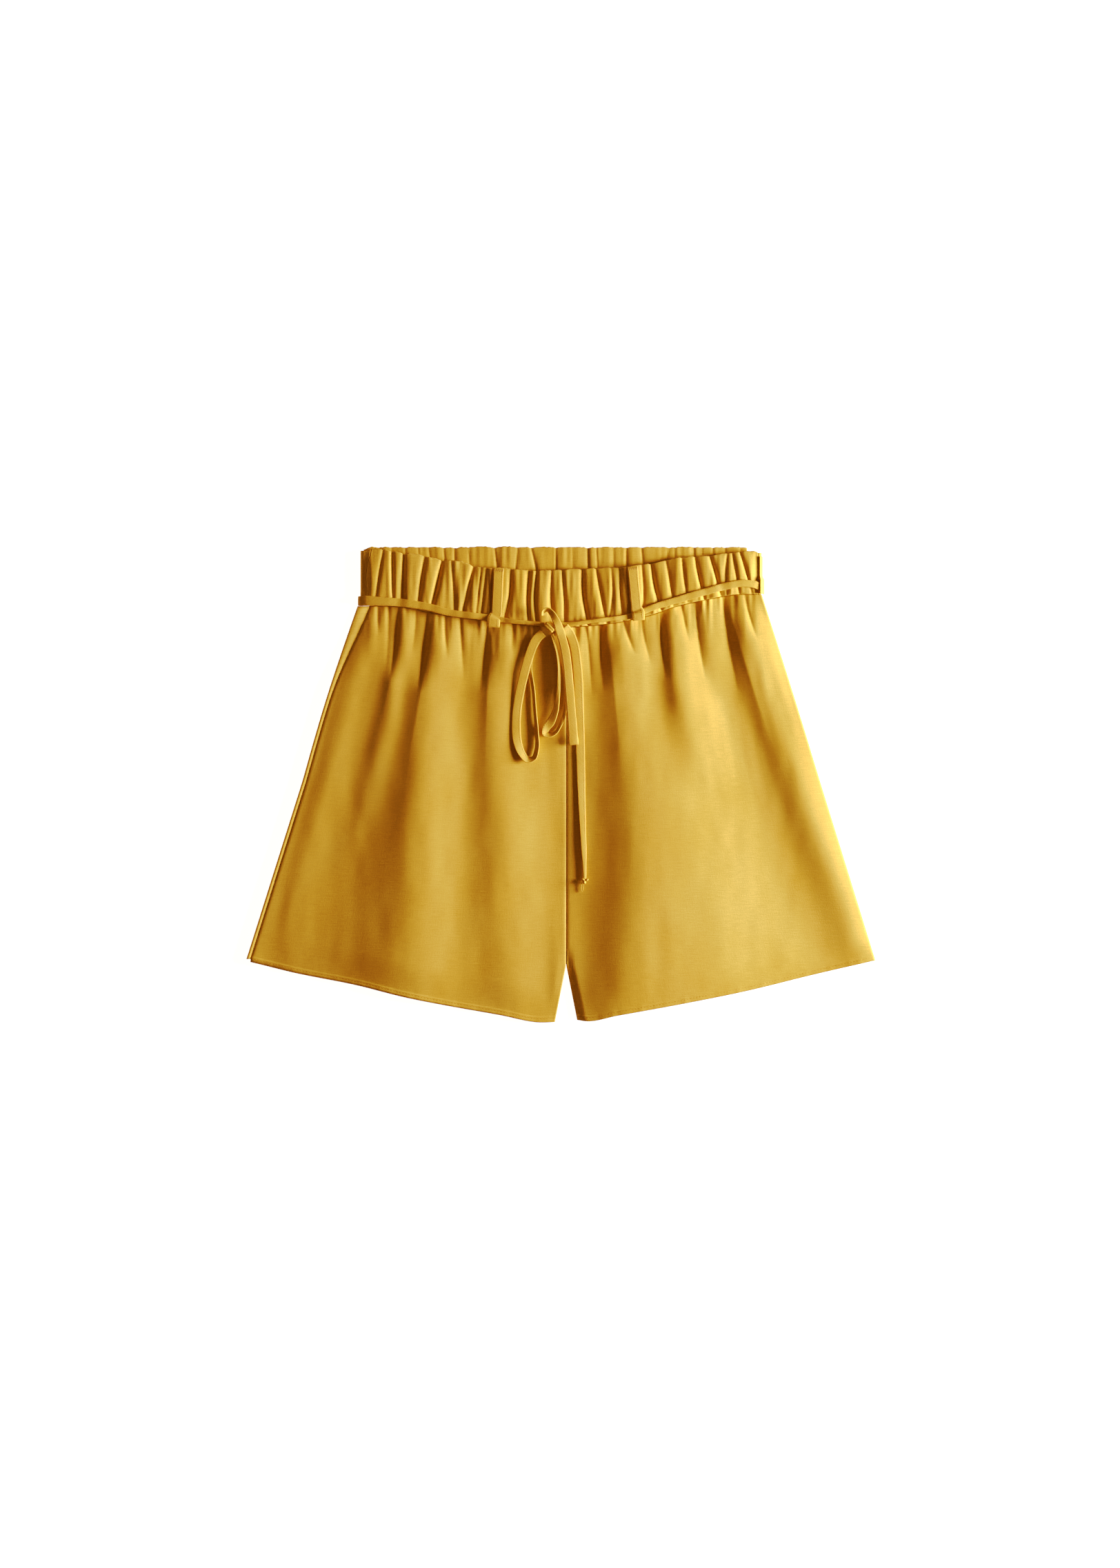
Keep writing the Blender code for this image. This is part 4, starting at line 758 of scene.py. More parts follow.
def bed(surface, x, y, reach=BED_REACH, softened=BED_SOFTENED):
    """A soft surface over the crests around x, y, for what lies on the cloth."""
    x = np.asarray(x, float)
    y = np.asarray(y, float)
    total = 0
    turns = np.linspace(0, 2 * np.pi, BED_WAYS, endpoint=False)
    for around in turns:
        near_x = x + softened * np.cos(around)
        near_y = y + softened * np.sin(around)
        highest = surface(near_x, near_y)
        for far in (reach / 2, reach):
            for turn in turns:
                there = surface(near_x + far * np.cos(turn), near_y + far * np.sin(turn))
                highest = np.maximum(highest, there)
        total = total + highest
    return total / BED_WAYS


# ---- fine relief of the cloth ----------------------------------------------------------


def noise(x, y, cell_x, cell_y, seed):
    """Smooth bumps from -1 to 1, about one cell apart, the same at every run."""
    table = np.random.default_rng(seed).uniform(-1, 1, (NOISE_CELLS, NOISE_CELLS))
    across = np.asarray(x, float) / cell_x + NOISE_START[0]
    down = np.asarray(y, float) / cell_y + NOISE_START[1]
    column = np.floor(across).astype(int)
    row = np.floor(down).astype(int)
    across = ease(across - column)
    down = ease(down - row)
    first, second = column % NOISE_CELLS, (column + 1) % NOISE_CELLS
    low, high = [
        table[first, line % NOISE_CELLS] * (1 - across) + table[second, line % NOISE_CELLS] * across
        for line in (row, row + 1)
    ]
    return low * (1 - down) + high * down


def rippled(ripples, x, y):
    """The height of a few sets of ripples at x, y."""
    return sum(row.height * noise(x, y, row.wide, row.long, row.seed) for row in ripples)


def leg_relief(x, y, below_waist):
    """Puckers under the waist seam, and the slight unevenness of pressed linen."""
    below = np.maximum(below_waist, 0)
    puckers = np.exp(-below / PUCKER_REACH) * rippled(WAIST_PUCKERS, x, y)
    drawn = np.exp(-below / DRAWN_REACH) * rippled(DRAWN_FOLDS, x, y)
    hip = ease((x - HIP_FROM[0]) / HIP_OVER[0]) * ease((y - HIP_FROM[1]) / HIP_OVER[1])
    worn = CRUMPLED + CRUMPLED_HIP * hip
    fanned = x / (1 + FAN * (FAN_TOP - y))
    return puckers + drawn + rippled(LEG_SLACK, x, y) + worn * rippled(CRUMPLE, fanned, y)


def hem_relief(above_hem, x):
    """The narrow hem: its fold stands proud, and the stitches draw it in."""
    fold = HEM_PROUD * (1 - ease((above_hem - HEM_WIDTH) / HEM_ROUND + 1 / 3))
    drawn = HEM_DRAWN * np.exp(-(((above_hem - HEM_STITCH_LINE) / HEM_DRAWN_WIDTH) ** 2))
    return fold - drawn + np.exp(-above_hem / HEM_ROPE_REACH) * rippled(HEM_ROPE, x, above_hem)


def crotch_x(y, side):
    """The inner edge of a leg at height y."""
    hem = HEM_LEFT[-1] if side < 0 else HEM_RIGHT[0]
    return np.interp(-y, (-CROTCH[1], -hem[1]), (CROTCH[0], hem[0]))


def changed(change, y):
    """The share of a change along a leg that is reached at y."""
    return ease((y - change.start) / change.reach)


def side_edge(x, y):
    """How high a leg stands at its folded side edge."""
    left_side = LEFT_SIDE_EDGE - sum(sink.size * changed(sink, y) for sink in LEFT_SINKS)
    right_side = LEG_EDGE - sum(sink.size * changed(sink, y) for sink in RIGHT_SINKS)
    return np.where(x < CENTRE_SEAM, right_side, left_side)


def leg_surface(x, y):
    """The outer surface of the front legs above the table, mm, with its fine relief."""
    below_waist = curve_y(WAIST_SEAM, x) - y
    puff = smooth([row[0] for row in BASE], [row[1] for row in BASE], below_waist)
    crests = sum(crest_height(crest, x, y) for crest in LEG_CRESTS)
    puff = puff + crests * grown(*CREST_AT_WAIST, below_waist)
    side = np.where(x < CENTRE_SEAM, -1, 1)
    above_hem = (y - np.where(side < 0, curve_y(HEM_LEFT, x), curve_y(HEM_RIGHT, x))) * HEM_SLANT
    puff = puff * grown(*PUFF_AT_HEM, above_hem)
    for fold in LEG_FOLDS:
        puff = puff * (1 - fold_depth(fold, x, y))
    puff = puff + leg_relief(x, y, below_waist) * grown(*RELIEF_AT_HEM, above_hem)
    inseam = np.abs(x - np.where(side < 0, crotch_x(y, -1), crotch_x(y, 1)))
    drawn_in = np.where(side < 0, *DRAWN_INSEAM) * (1 - ease(inseam / DRAWN_INSEAM_WIDTH))
    puff = puff * (1 - drawn_in * ease((CROTCH[1] + DRAWN_ABOVE - y) / DRAWN_OVER))
    from_left = x - side_x(y, HIP_LEFT, HEM_CORNER_LEFT)
    from_right = side_x(y, HIP_RIGHT, HEM_CORNER_RIGHT) - x
    rounded = 1 - (1 - np.clip((from_right - EDGE_REACH) / SIDE_ROUND, 0, 1)) ** 2
    inside = ease((from_left - EDGE_REACH) / SIDE_ROUND) * rounded
    height = LEG_LOW + inside * np.maximum(puff, 0) + (1 - inside) * (side_edge(x, y) - LEG_LOW)
    seam = SEAM_DEPTH * np.exp(-(((from_left - strip_width(y)) / SEAM_HALF_WIDTH) ** 2))
    centre = CENTRE_DEPTH * np.exp(-(((x - CENTRE_SEAM) / CENTRE_HALF_WIDTH) ** 2))
    centre = centre * ease((y - CROTCH[1]) / GROOVE_FADE)
    height = height + hem_relief(above_hem, x) - seam - centre
    return np.maximum(height, LEG_LOW - LEG_SHELL)


def band_surface(x, y):
    """The outer surface of the front waistband above the table, mm, with its fine relief."""
    top = curve_y(BAND_TOP, x)
    down = np.clip((top - y) / (top - curve_y(WAIST_SEAM, x)), 0, 1)
    height = gather_height(BAND_GATHERS, x, down, BAND_PILLOW) + rippled(BAND_RIPPLES, x, y)
    height = height + ease((down - PUCKERS_FROM) / (1 - PUCKERS_FROM)) * rippled(BAND_PUCKERS, x, y)
    height = BAND_LOW + np.maximum(height, 0)
    edge = np.minimum(x - WAIST_LEFT, WAIST_RIGHT - x) - BAND_EDGE / 2
    inside = ease(edge / CORNER_REACH)
    return inside * height + (1 - inside) * BAND_EDGE


def back_band_surface(x, y):
    """The inside of the back waistband, with its fine relief."""
    down = np.clip((BACK_TOP - y) / (BACK_TOP - back_band_low(x)), 0, 1)
    height = gather_height(BACK_GATHERS, x, down, BACK_BAND_PILLOW)
    height = BACK_BAND_LOW + np.maximum(height + rippled(BACK_BAND_RIPPLES, x, y), 0)
    return np.maximum(height, under_back(x, y) + CLEAR_OF_TIE)


def front_surface(x, y):
    """The outer surface of the front, band and legs."""
    return np.where(y > curve_y(WAIST_SEAM, x), band_surface(x, y), leg_surface(x, y))


def scallop(gathers, x):
    """How far a gathered top edge dips at its gathers."""
    dip = 0
    for row in gathers:
        dip = dip + row.depth * bell(x - row.x_top, row.left, row.right, SCALLOP_SHARPNESS)
    return SCALLOP_RISE - SCALLOP_DIP * np.minimum(dip, SCALLOP_LIMIT) + rippled(RAGGED_TOP, x, 0 * x)


# ---- finishes --------------------------------------------------------------------------


def linked(tree, kind, sources=(), **settings):
    """A node of one kind with its settings, fed by (socket of the node, output) pairs."""
    node = tree.nodes.new(kind)
    for name, value in settings.items():
        setattr(node, name, value)
    for socket, source in sources:
        if hasattr(source, "links"):
            tree.links.new(source, node.inputs[socket])
        else:
            node.inputs[socket].default_value = source
    return node


def maths(tree, operation, *values):
    """The output of one sum on numbers or on other nodes' outputs."""
    node = linked(tree, "ShaderNodeMath", list(enumerate(values)), operation=operation)
    return node.outputs[0]


def thread_pattern(tree, coordinates, turn, pitch):
    """Over-and-under bumps of a plain weave, about 0 to 1."""
    place = linked(tree, "ShaderNodeMapping", [("Vector", coordinates), ("Rotation", (0, 0, turn))])
    turned = place.outputs["Vector"]
    shape = [("Vector", turned), ("Scale", np.pi / 10 / pitch), *WEAVE_UNEVEN]
    waves = [
        linked(tree, "ShaderNodeTexWave", shape, wave_type="BANDS", bands_direction=way).outputs["Fac"]
        for way in ("X", "Y")
    ]
    return turned, maths(tree, "ADD", *waves)


def stretched_noise(tree, coordinates, size, detail=2.0):
    """Noise whose blotches have a size of two lengths in metres."""
    scale = (1 / size[0], 1 / size[1], 1.0)
    place = linked(tree, "ShaderNodeMapping", [("Vector", coordinates), ("Scale", scale)])
    look = [("Vector", place.outputs["Vector"]), ("Scale", 1.0), ("Detail", detail)]
    return linked(tree, "ShaderNodeTexNoise", look).outputs["Fac"]


def spread(tree, value, low, high, to_low, to_high):
    """A value mapped from one range onto another."""
    ends = [("From Min", low), ("From Max", high), ("To Min", to_low), ("To Max", to_high)]
    return linked(tree, "ShaderNodeMapRange", [("Value", value), *ends]).outputs["Result"]


def tinted(tree, colour, value):
    """A colour made lighter or darker by a value near 1."""
    node = linked(tree, "ShaderNodeVectorMath", [(0, colour), ("Scale", value)], operation="SCALE")
    return node.outputs["Vector"]


def linen(name, light, dark, turn=0.0):
    """Plain-weave linen: threads, slubs across the cloth, uneven dye and a soft sheen."""
    made = bpy.data.materials.new(name)
    made.use_nodes = True
    tree = made.node_tree
    shader = tree.nodes["Principled BSDF"]
    coordinates = linked(tree, "ShaderNodeUVMap", uv_map="cloth").outputs["UV"]
    turned, weave = thread_pattern(tree, coordinates, turn, WEAVE_PITCH)
    dye = spread(tree, stretched_noise(tree, turned, DYE_SIZE, DYE_DETAIL), *NOISE_RANGE, 0.0, 1.0)
    mix = [(0, dye), (6, (*dark, 1)), (7, (*light, 1))]
    colour = linked(tree, "ShaderNodeMix", mix, data_type="RGBA").outputs[2]
    height = maths(tree, "MULTIPLY", weave, WEAVE_SHARE)
    for blotch in (SLUBS, THREADS, GRAIN):
        value = stretched_noise(tree, turned, blotch.size)
        tint = spread(tree, value, blotch.low, blotch.high, blotch.darkest, blotch.lightest)
        colour = tinted(tree, colour, tint)
        height = maths(tree, "MULTIPLY_ADD", value, blotch.relief, height)
        if blotch is SLUBS:
            roughness = spread(tree, value, *NOISE_RANGE, *ROUGHNESS)
            tree.links.new(roughness, shader.inputs["Roughness"])
    tree.links.new(colour, shader.inputs["Base Color"])
    relief = [("Height", height), ("Strength", RELIEF_STRENGTH), ("Distance", WEAVE_RELIEF)]
    bump = linked(tree, "ShaderNodeBump", relief)
    tree.links.new(bump.outputs["Normal"], shader.inputs["Normal"])
    for socket, value in SHEEN.items():
        shader.inputs[socket].default_value = value
    return made


def plain(name, colour, roughness, glow=0.0):
    """A plain material for the floor and the thread."""
    made = bpy.data.materials.new(name)
    made.use_nodes = True
    shader = made.node_tree.nodes["Principled BSDF"]
    shader.inputs["Base Color"].default_value = (*colour, 1.0)
    shader.inputs["Roughness"].default_value = roughness
    shader.inputs["Emission Color"].default_value = (*colour, 1.0)
    shader.inputs["Emission Strength"].default_value = glow
    return made


# ---- mesh making -----------------------------------------------------------------------


def mesh_piece(name, points, faces, uvs, finish):
    """An object from points in mm, with the cloth's own coordinates in metres."""
    mesh = bpy.data.meshes.new(name)
    mesh.from_pydata((points * METRES).tolist(), [], faces.tolist())
    layer = mesh.uv_layers.new(name="cloth")
    layer.data.foreach_set("uv", (uvs[faces.reshape(-1)] * METRES).reshape(-1))
    mesh.materials.append(finish)
    mesh.shade_smooth()
    piece = bpy.data.objects.new(name, mesh)
    bpy.context.scene.collection.objects.link(piece)
    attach(piece, "root")
    return piece


def grid_faces(rows, columns, start=0):
    """The quads of a grid of points that are numbered row by row."""
    index = np.arange(rows * columns).reshape(rows, columns) + start
    quads = (index[:-1, :-1], index[1:, :-1], index[1:, 1:], index[:-1, 1:])
    return np.stack(quads, axis=2).reshape(-1, 4)


def grid_piece(name, grid, finish):
    """A piece from one grid of (x, y, z, u, v)."""
    points = grid.reshape(-1, 5)
    return mesh_piece(name, points[:, :3], grid_faces(*grid.shape[:2]), points[:, 3:], finish)


def capped(grid):
    """The rings of a tube with both ends closed onto their middle."""
    first, last = [np.broadcast_to(ring[:-1].mean(axis=0), ring.shape) for ring in (grid[0], grid[-1])]
    return np.concatenate([first[None], grid, last[None]], axis=0)


def cloth(name, grids, finish, shell):
    """A shell of cloth from one or more grids of (x, y, z, u, v), thickened inwards."""
    points = np.concatenate([grid.reshape(-1, 5) for grid in grids])
    faces = []
    start = 0
    for grid in grids:
        faces.append(grid_faces(*grid.shape[:2], start))
        start += grid.shape[0] * grid.shape[1]
    piece = mesh_piece(name, points[:, :3], np.concatenate(faces), points[:, 3:], finish)
    solidify = piece.modifiers.new("cloth", "SOLIDIFY")
    solidify.thickness = shell * METRES
    solidify.offset = -1.0
    return piece


def shares(bands):
    """Shares from 0 to 1 with the steps that each band asks for."""
    parts = [np.linspace(start, end, count + 1)[:-1] for start, end, count in bands]
    return np.append(np.concatenate(parts), 1.0)


def patch(top, bottom, left, right, down):
    """Points that fill four edge curves; rows run from top to bottom at the shares down."""
    u = np.linspace(0, 1, len(top))[None, :, None]
    v = down[:, None, None]
    corners = (1 - v) * ((1 - u) * top[0] + u * top[-1]) + v * ((1 - u) * bottom[0] + u * bottom[-1])
    between_rows = (1 - v) * top[None] + v * bottom[None]
    between_sides = (1 - u) * left[:, None] + u * right[:, None]
    return between_rows + between_sides - corners


def flat_cloth(grid, width, start=0.0):
    """Adds the cloth's own coordinates to a grid: evenly across it, and down the garment."""
    u = np.linspace(start, start + width, grid.shape[1])[None, :, None]
    u = np.broadcast_to(u, (*grid.shape[:2], 1))
    return np.concatenate([grid, u, -grid[..., 1:2]], axis=2)


def lifted(flat, surface):
    """Flat points lifted onto a surface."""
    z = surface(flat[..., 0], flat[..., 1])
    return np.concatenate([flat, np.broadcast_to(z, flat.shape[:-1])[..., None]], axis=-1)


def round_edge(x, y, low, high, side, steps, reach=EDGE_REACH):
    """Points round a folded edge from the underside at low up to the top at high."""
    turns = np.linspace(-np.pi / 2, np.pi / 2, steps)[None, :]
    low = np.broadcast_to(low, len(x))[:, None]
    high = np.broadcast_to(high, len(x))[:, None]
    out_x = x[:, None] + side * reach * np.cos(turns)
    z = (low + high) / 2 + (high - low) / 2 * np.sin(turns)
    return np.stack([out_x, y[:, None] + 0 * out_x, z], axis=2)


# ---- legs ------------------------------------------------------------------------------


def side_curve(waist_x, hem_corner, y_top, y_bottom, down, inset):
    """A line along a leg's side edge, inset from it."""
    y = y_top + (y_bottom - y_top) * down
    x = side_x(y, waist_x, hem_corner) - np.sign(waist_x) * inset
    return np.stack([x, y], axis=1)


def inner_curve(side, top_y, hem_point, down):
    """The centre seam down to the crotch, then the inseam to the hem."""
    crotch = (CROTCH[0] + side * SEAM_GAP / 2, CROTCH[1])
    points = np.array([(CENTRE_SEAM + side * SEAM_GAP / 2, top_y), crotch, hem_point])
    stations = stations_along(points)
    at = stations[-1] * down
    return np.stack([np.interp(at, stations, points[:, k]) for k in (0, 1)], axis=1)


def strip_width(y):
    """How far the back comes round onto the front at the wearer's right side."""
    return STRIP_AT_HEM + STRIP_WIDER.size * changed(STRIP_WIDER, y) ** 1.5


def leg_panel(left, right, top_curve, hem_curve, rise, columns, down):
    """The flat points of one leg panel between its side edges, its waist and its hem."""
    top_x = np.linspace(left[0, 0], right[0, 0], columns)
    top = np.stack([top_x, top_curve(top_x)], axis=1)
    hem_x = np.linspace(left[-1, 0], right[-1, 0], columns)
    bottom = np.stack([hem_x, curve_y(hem_curve, hem_x) + rise], axis=1)
    left[0], right[0] = top[0], top[-1]
    left[-1], right[-1] = bottom[0], bottom[-1]
    return patch(top, bottom, left, right, down)


def front_top(x):
    """The top edge of the front legs, a seam's gap below the band."""
    return curve_y(WAIST_SEAM, x) - SEAM_GAP


def back_top(x):
    """The top edge of the back legs, a seam's gap below the band."""
    return back_band_low(x) - SEAM_GAP


def front_right_leg(finish):
    """The front of the wearer's right leg, from the side seam to the centre seam."""
    down = shares(LEG_ROWS)
    left = side_curve(HIP_LEFT, HEM_CORNER_LEFT, WAIST_Y_LEFT, HEM_SIDE_Y, down, 0)
    left[:, 0] += strip_width(left[:, 1]) + SEAM_GAP
    right = inner_curve(-1, front_top(CENTRE_SEAM), HEM_LEFT[-1], down)
    flat = leg_panel(left, right, front_top, HEM_LEFT, 0, LEG_COLUMNS, down)
    over = lifted(flat, leg_surface)
    grid = np.concatenate([over, turned_in(over[:, -1], TURNED_ASIDE[0])[:, ::-1]], axis=1)
    return cloth("front_right_leg_cloth", [flat_cloth(grid, HEM_SPAN)], finish, LEG_SHELL)


def turned_in(edge, reach):
    """Two columns that turn a leg's inner edge down; above the crotch they close the seam."""
    closes = ease((edge[:, 1] - CROTCH[1]) / TURNED_FADE)
    near, far = [edge - np.array([0.0, 0.0, step]) for step in TURNED_DOWN]
    far[:, 0] += reach * closes
    return np.stack([far, near], axis=1)


def front_left_leg(finish):
    """The front of the wearer's left leg; it goes round the side edge to a seam underneath."""
    down = shares(LEG_ROWS)
    left = inner_curve(1, front_top(CENTRE_SEAM), HEM_RIGHT[0], down)
    right = side_curve(HIP_RIGHT, HEM_CORNER_RIGHT, WAIST_Y_RIGHT, HEM_SIDE_Y, down, EDGE_REACH)
    flat = leg_panel(left, right, front_top, HEM_RIGHT, 0, LEG_COLUMNS, down)
    over = lifted(flat, leg_surface)
    arc = round_edge(right[:, 0], right[:, 1], 0.0, over[:, -1, 2], 1, ARC_STEPS)[:, ::-1]
    seam = np.stack([right[:, 0] - UNDER_STRIP, right[:, 1], 0 * down], axis=1)
    turned = turned_in(over[:, 0], TURNED_ASIDE[1])
    grid = np.concatenate([turned, over[:, :-1], arc, seam[:, None]], axis=1)
    return cloth("front_left_leg_cloth", [flat_cloth(grid, HEM_SPAN, LEFT_LEG_START)], finish, LEG_SHELL)


def under_relief(x, y):
    """Shallow creases on the side that rests on the table; none reaches through it."""
    streaks = sum(np.maximum(rippled((row,), x, y), 0) for row in UNDER_STREAKS)
    near_waist = np.exp(-np.maximum(back_band_low(x) - y, 0) / UNDER_REACH)
    return np.minimum(streaks * (UNDER_SHARE[0] + UNDER_SHARE[1] * near_waist), UNDER_LIMIT)


def back_right_leg(finish):
    """The back of the wearer's right leg; it goes round the side edge to the seam on top."""
    down = shares(BACK_ROWS)
    left = side_curve(HIP_LEFT, HEM_CORNER_LEFT, WAIST_Y_LEFT, HEM_SIDE_Y, down, 0)
    left[-1, 1] += BACK_HEM_RISE
    left[:, 0] += EDGE_REACH
    right = inner_curve(-1, back_top(CENTRE_SEAM), HEM_LEFT[-1], down)
    flat = leg_panel(left, right, back_top, HEM_LEFT, BACK_HEM_RISE, BACK_COLUMNS, down)
    under = lifted(flat, under_relief)[:, ::-1]
    arc = round_edge(*left.T, under[:, -1, 2], leg_surface(*left.T), -1, ARC_STEPS)
    seam = left.copy()
    seam[:, 0] += strip_width(left[:, 1]) - EDGE_REACH
    grid = np.concatenate([under[:, :-1], arc, lifted(seam, leg_surface)[:, None]], axis=1)
    return cloth("back_right_leg_cloth", [flat_cloth(grid, HEM_SPAN, RIGHT_BACK_START)], finish, LEG_SHELL)


def back_left_leg(finish):
    """The back of the wearer's left leg, flat on the table."""
    down = shares(BACK_ROWS)
    inset = EDGE_REACH + UNDER_STRIP + SEAM_GAP
    y_low = HEM_SIDE_Y + BACK_HEM_RISE
    left = inner_curve(1, back_top(CENTRE_SEAM), HEM_RIGHT[0], down)
    right = side_curve(HIP_RIGHT, HEM_CORNER_RIGHT, back_top(HIP_RIGHT), y_low, down, inset)
    flat = leg_panel(left, right, back_top, HEM_RIGHT, BACK_HEM_RISE, BACK_COLUMNS, down)
    grid = lifted(flat, under_relief)[:, ::-1]
    return cloth("back_left_leg_cloth", [flat_cloth(grid, HEM_SPAN, LEFT_BACK_START)], finish, LEG_SHELL)


# ---- waistband -------------------------------------------------------------------------


def side_seam_x(y):
    """The waistband's side seam, which shows on the front at the wearer's right."""
    return smooth([row[1] for row in SIDE_SEAM], [row[0] for row in SIDE_SEAM], y)


def rolled_top(first, inner_length):
    """Rows of the inner ply and of the rounded fold that come before a band's first row."""
    x, y, z = first.T
    rows = [np.stack([x, y - inner_length, z - 2 * ROLL_RADIUS], axis=1)]
    for turn in np.linspace(-np.pi / 2, np.pi / 2, ROLL_STEPS)[:-1]:
        out_y = y - ROLL_RADIUS * (1 - np.cos(turn))
        rows.append(np.stack([x, out_y, z - ROLL_RADIUS + ROLL_RADIUS * np.sin(turn)], axis=1))
    return np.array(rows)


def waistband_front(finish):
    """The front of the waistband; at the wearer's left it goes round the edge and under."""
    radius = BAND_EDGE / 2
    share = shares(BAND_ROWS)[:, None]
    columns = np.linspace(0, 1, BAND_COLUMNS)[None, :]
    start = side_seam_x(SIDE_SEAM_TOP - SIDE_SEAM_LENGTH * share) + SEAM_GAP
    x = start + (WAIST_RIGHT - radius - start) * columns
    top = curve_y(BAND_TOP, x) + scallop(BAND_GATHERS, x) * (1 - share) ** 3
    y = top + (curve_y(WAIST_SEAM, x) - top) * share
    over = np.stack([x, y, band_surface(x, y)], axis=2)
    over[0, :, 2] = over[1, :, 2] - ROLL_DROP
    edge_x = x[:, -1]
    edge_y = y[:, -1]
    low = under_back(edge_x, edge_y)
    arc = round_edge(edge_x, edge_y, low, over[:, -1, 2], 1, ARC_STEPS, radius)[:, ::-1]
    seam_x = edge_x - UNDER_STRIP
    seam = np.stack([seam_x, edge_y, under_back(seam_x, edge_y)], axis=1)
    lip = over[-1:].copy()
    leg_high = leg_surface(lip[:, :, 0], lip[:, :, 1] - SEAM_GAP)
    lip[:, :, 2] = np.minimum(lip[:, :, 2] - LIP_LEAST, leg_high - LIP_DROP)
    outer = np.concatenate([rolled_top(over[0], INNER_PLY[0]), over, lip], axis=0)
    round_side = np.concatenate([over[:, -1:], arc[:, 1:], seam[:, None]], axis=1)
    grids = [flat_cloth(outer, BAND_SPAN), flat_cloth(round_side, BAND_SIDE_SPAN, BAND_SPAN)]
    return cloth("waistband_front_cloth", grids, finish, BAND_SHELL)


def waistband_back(finish):
    """The back of the waistband; at the wearer's right it comes round onto the front."""
    radius = BAND_EDGE / 2
    share = shares(BAND_ROWS)[:, None]
    right = WAIST_RIGHT - radius - UNDER_STRIP - SEAM_GAP
    x = np.linspace(WAIST_LEFT + radius, right, BAND_COLUMNS)
    top = back_band_top(x) + (scallop(BACK_GATHERS, x) - SCALLOP_RISE) * (1 - share) ** 3
    y = top + (back_band_low(x) - top) * share
    x = np.broadcast_to(x, y.shape)
    inside = np.stack([x, y, back_band_surface(x, y)], axis=2)
    inner = np.concatenate([rolled_top(inside[0], INNER_PLY[1]), inside], axis=0)
    x = x[:, ::-UNDER_EVERY]
    under_top = back_band_top(x) - UNDER_TOP_DROP
    y = under_top + (back_band_low(x) - under_top) * share
    under = np.stack([x, y, under_back(x, y) + UNDER_BAND_SHARE * under_relief(x, y)], axis=2)
    edge_x, edge_y, low = under[:, -1].T
    high = np.full(len(edge_x), BAND_EDGE)
    arc = round_edge(edge_x, edge_y, low, high, -1, ARC_STEPS, radius)
    steps = np.linspace(0, 1, SIDE_STRIP_STEPS)[1:]
    strip_x = edge_x[:, None] + (side_seam_x(edge_y) - edge_x)[:, None] * steps
    strip_y = np.broadcast_to(edge_y[:, None], strip_x.shape)
    strip = lifted(np.stack([strip_x, strip_y], axis=2), band_surface)
    outer = np.concatenate([under, arc[:, 1:], strip], axis=1)
    grids = [
        flat_cloth(inner, BAND_SPAN, BACK_BAND_START),
        flat_cloth(outer, BAND_SPAN, BACK_BAND_OUTER_START),
    ]
    return cloth("waistband_back_cloth", grids, finish, BAND_SHELL)


# ---- tie and belt loops ----------------------------------------------------------------

Ribbon = namedtuple("Ribbon", "centres sideways upwards")


def ribbon(centres, rolls, ups=None):
    """Where a tape runs and which way it faces at each of its points."""
    centres = np.asarray(centres, float)
    ways = np.gradient(centres, axis=0)
    ways = ways / np.linalg.norm(ways, axis=1)[:, None]
    if ups is None:
        ups = np.tile((0.0, 0.0, 1.0), (len(centres), 1))
    level = np.cross(ways, ups)
    level = level / np.linalg.norm(level, axis=1)[:, None]
    above = np.cross(level, ways)
    turn = np.radians(np.asarray(rolls, float))[:, None]
    sideways = np.cos(turn) * level + np.sin(turn) * above
    upwards = np.cos(turn) * above - np.sin(turn) * level
    return Ribbon(centres, sideways, upwards)


def squared(values, power):
    """Values from -1 to 1 pushed outwards, so that a circle becomes a rounded bar."""
    return np.sign(values) * np.abs(values) ** power


def tape(name, run, finish, width=TIE_WIDTH, wall=TAPE_WALL, seed=0):
    """A flat sewn tape: rounded edges, a slightly puffed face and a line drawn in by stitches."""
    turns = np.linspace(0, 2 * np.pi, TAPE_SIDES, endpoint=False)
    across = squared(np.cos(turns), TAPE_SQUARE[0])
    up = squared(np.sin(turns), TAPE_SQUARE[1])
    length = stations_along(run.centres)
    wide, thick = [
        size / 2 * (1 + row.height * noise(length, 0 * length, row.wide, row.long, row.seed + seed))
        for size, row in zip((width, wall), TAPE_UNEVEN)
    ]
    body = 1 - TAPE_GROOVE * np.exp(-(((across - TAPE_STITCH_LINE) / TAPE_GROOVE_WIDTH) ** 2))
    side_part = run.sideways[:, None] * (wide[:, None] * across)[..., None]
    up_part = run.upwards[:, None] * (thick[:, None] * up * body)[..., None]
    rings = run.centres[:, None] + side_part + up_part
    rings = np.concatenate([rings, rings[:, :1]], axis=1)
    around = np.append(across, across[0] + 0.1) * TIE_WIDTH / 2
    uv = np.stack(np.broadcast_arrays(length[:, None], around[None, :]), axis=2)
    return grid_piece(name, capped(np.concatenate([rings, uv], axis=2)), finish)


def stops_on_cloth(stops, count):
    """A tape's centre line and rolls from its stops, laid on the cloth."""
    x, y, lift, rolls = along(stops, count).T
    z = evened(bed(front_surface, x, y, TAPE_REACH, TAPE_SOFTENED) + lift, TIE_EVENED)
    return np.stack([x, y, z], axis=1), rolls


def round_band_edge(x, y, side, top, low):
    """The tie's way round the folded side of the band, from its top to its underside."""
    radius = (top - low) / 2
    reach = radius + SEAM_GAP + TAPE_WALL / 2
    turns = np.linspace(np.pi / 2, -np.pi / 2, EDGE_TURNS)[1:]
    out = side * np.cos(turns)
    up = np.sin(turns)
    level = 0 * turns
    centres = np.stack([x + reach * out, y + level, (top + low) / 2 + radius * up], axis=1)
    return centres, np.stack([out, level, up], axis=1)


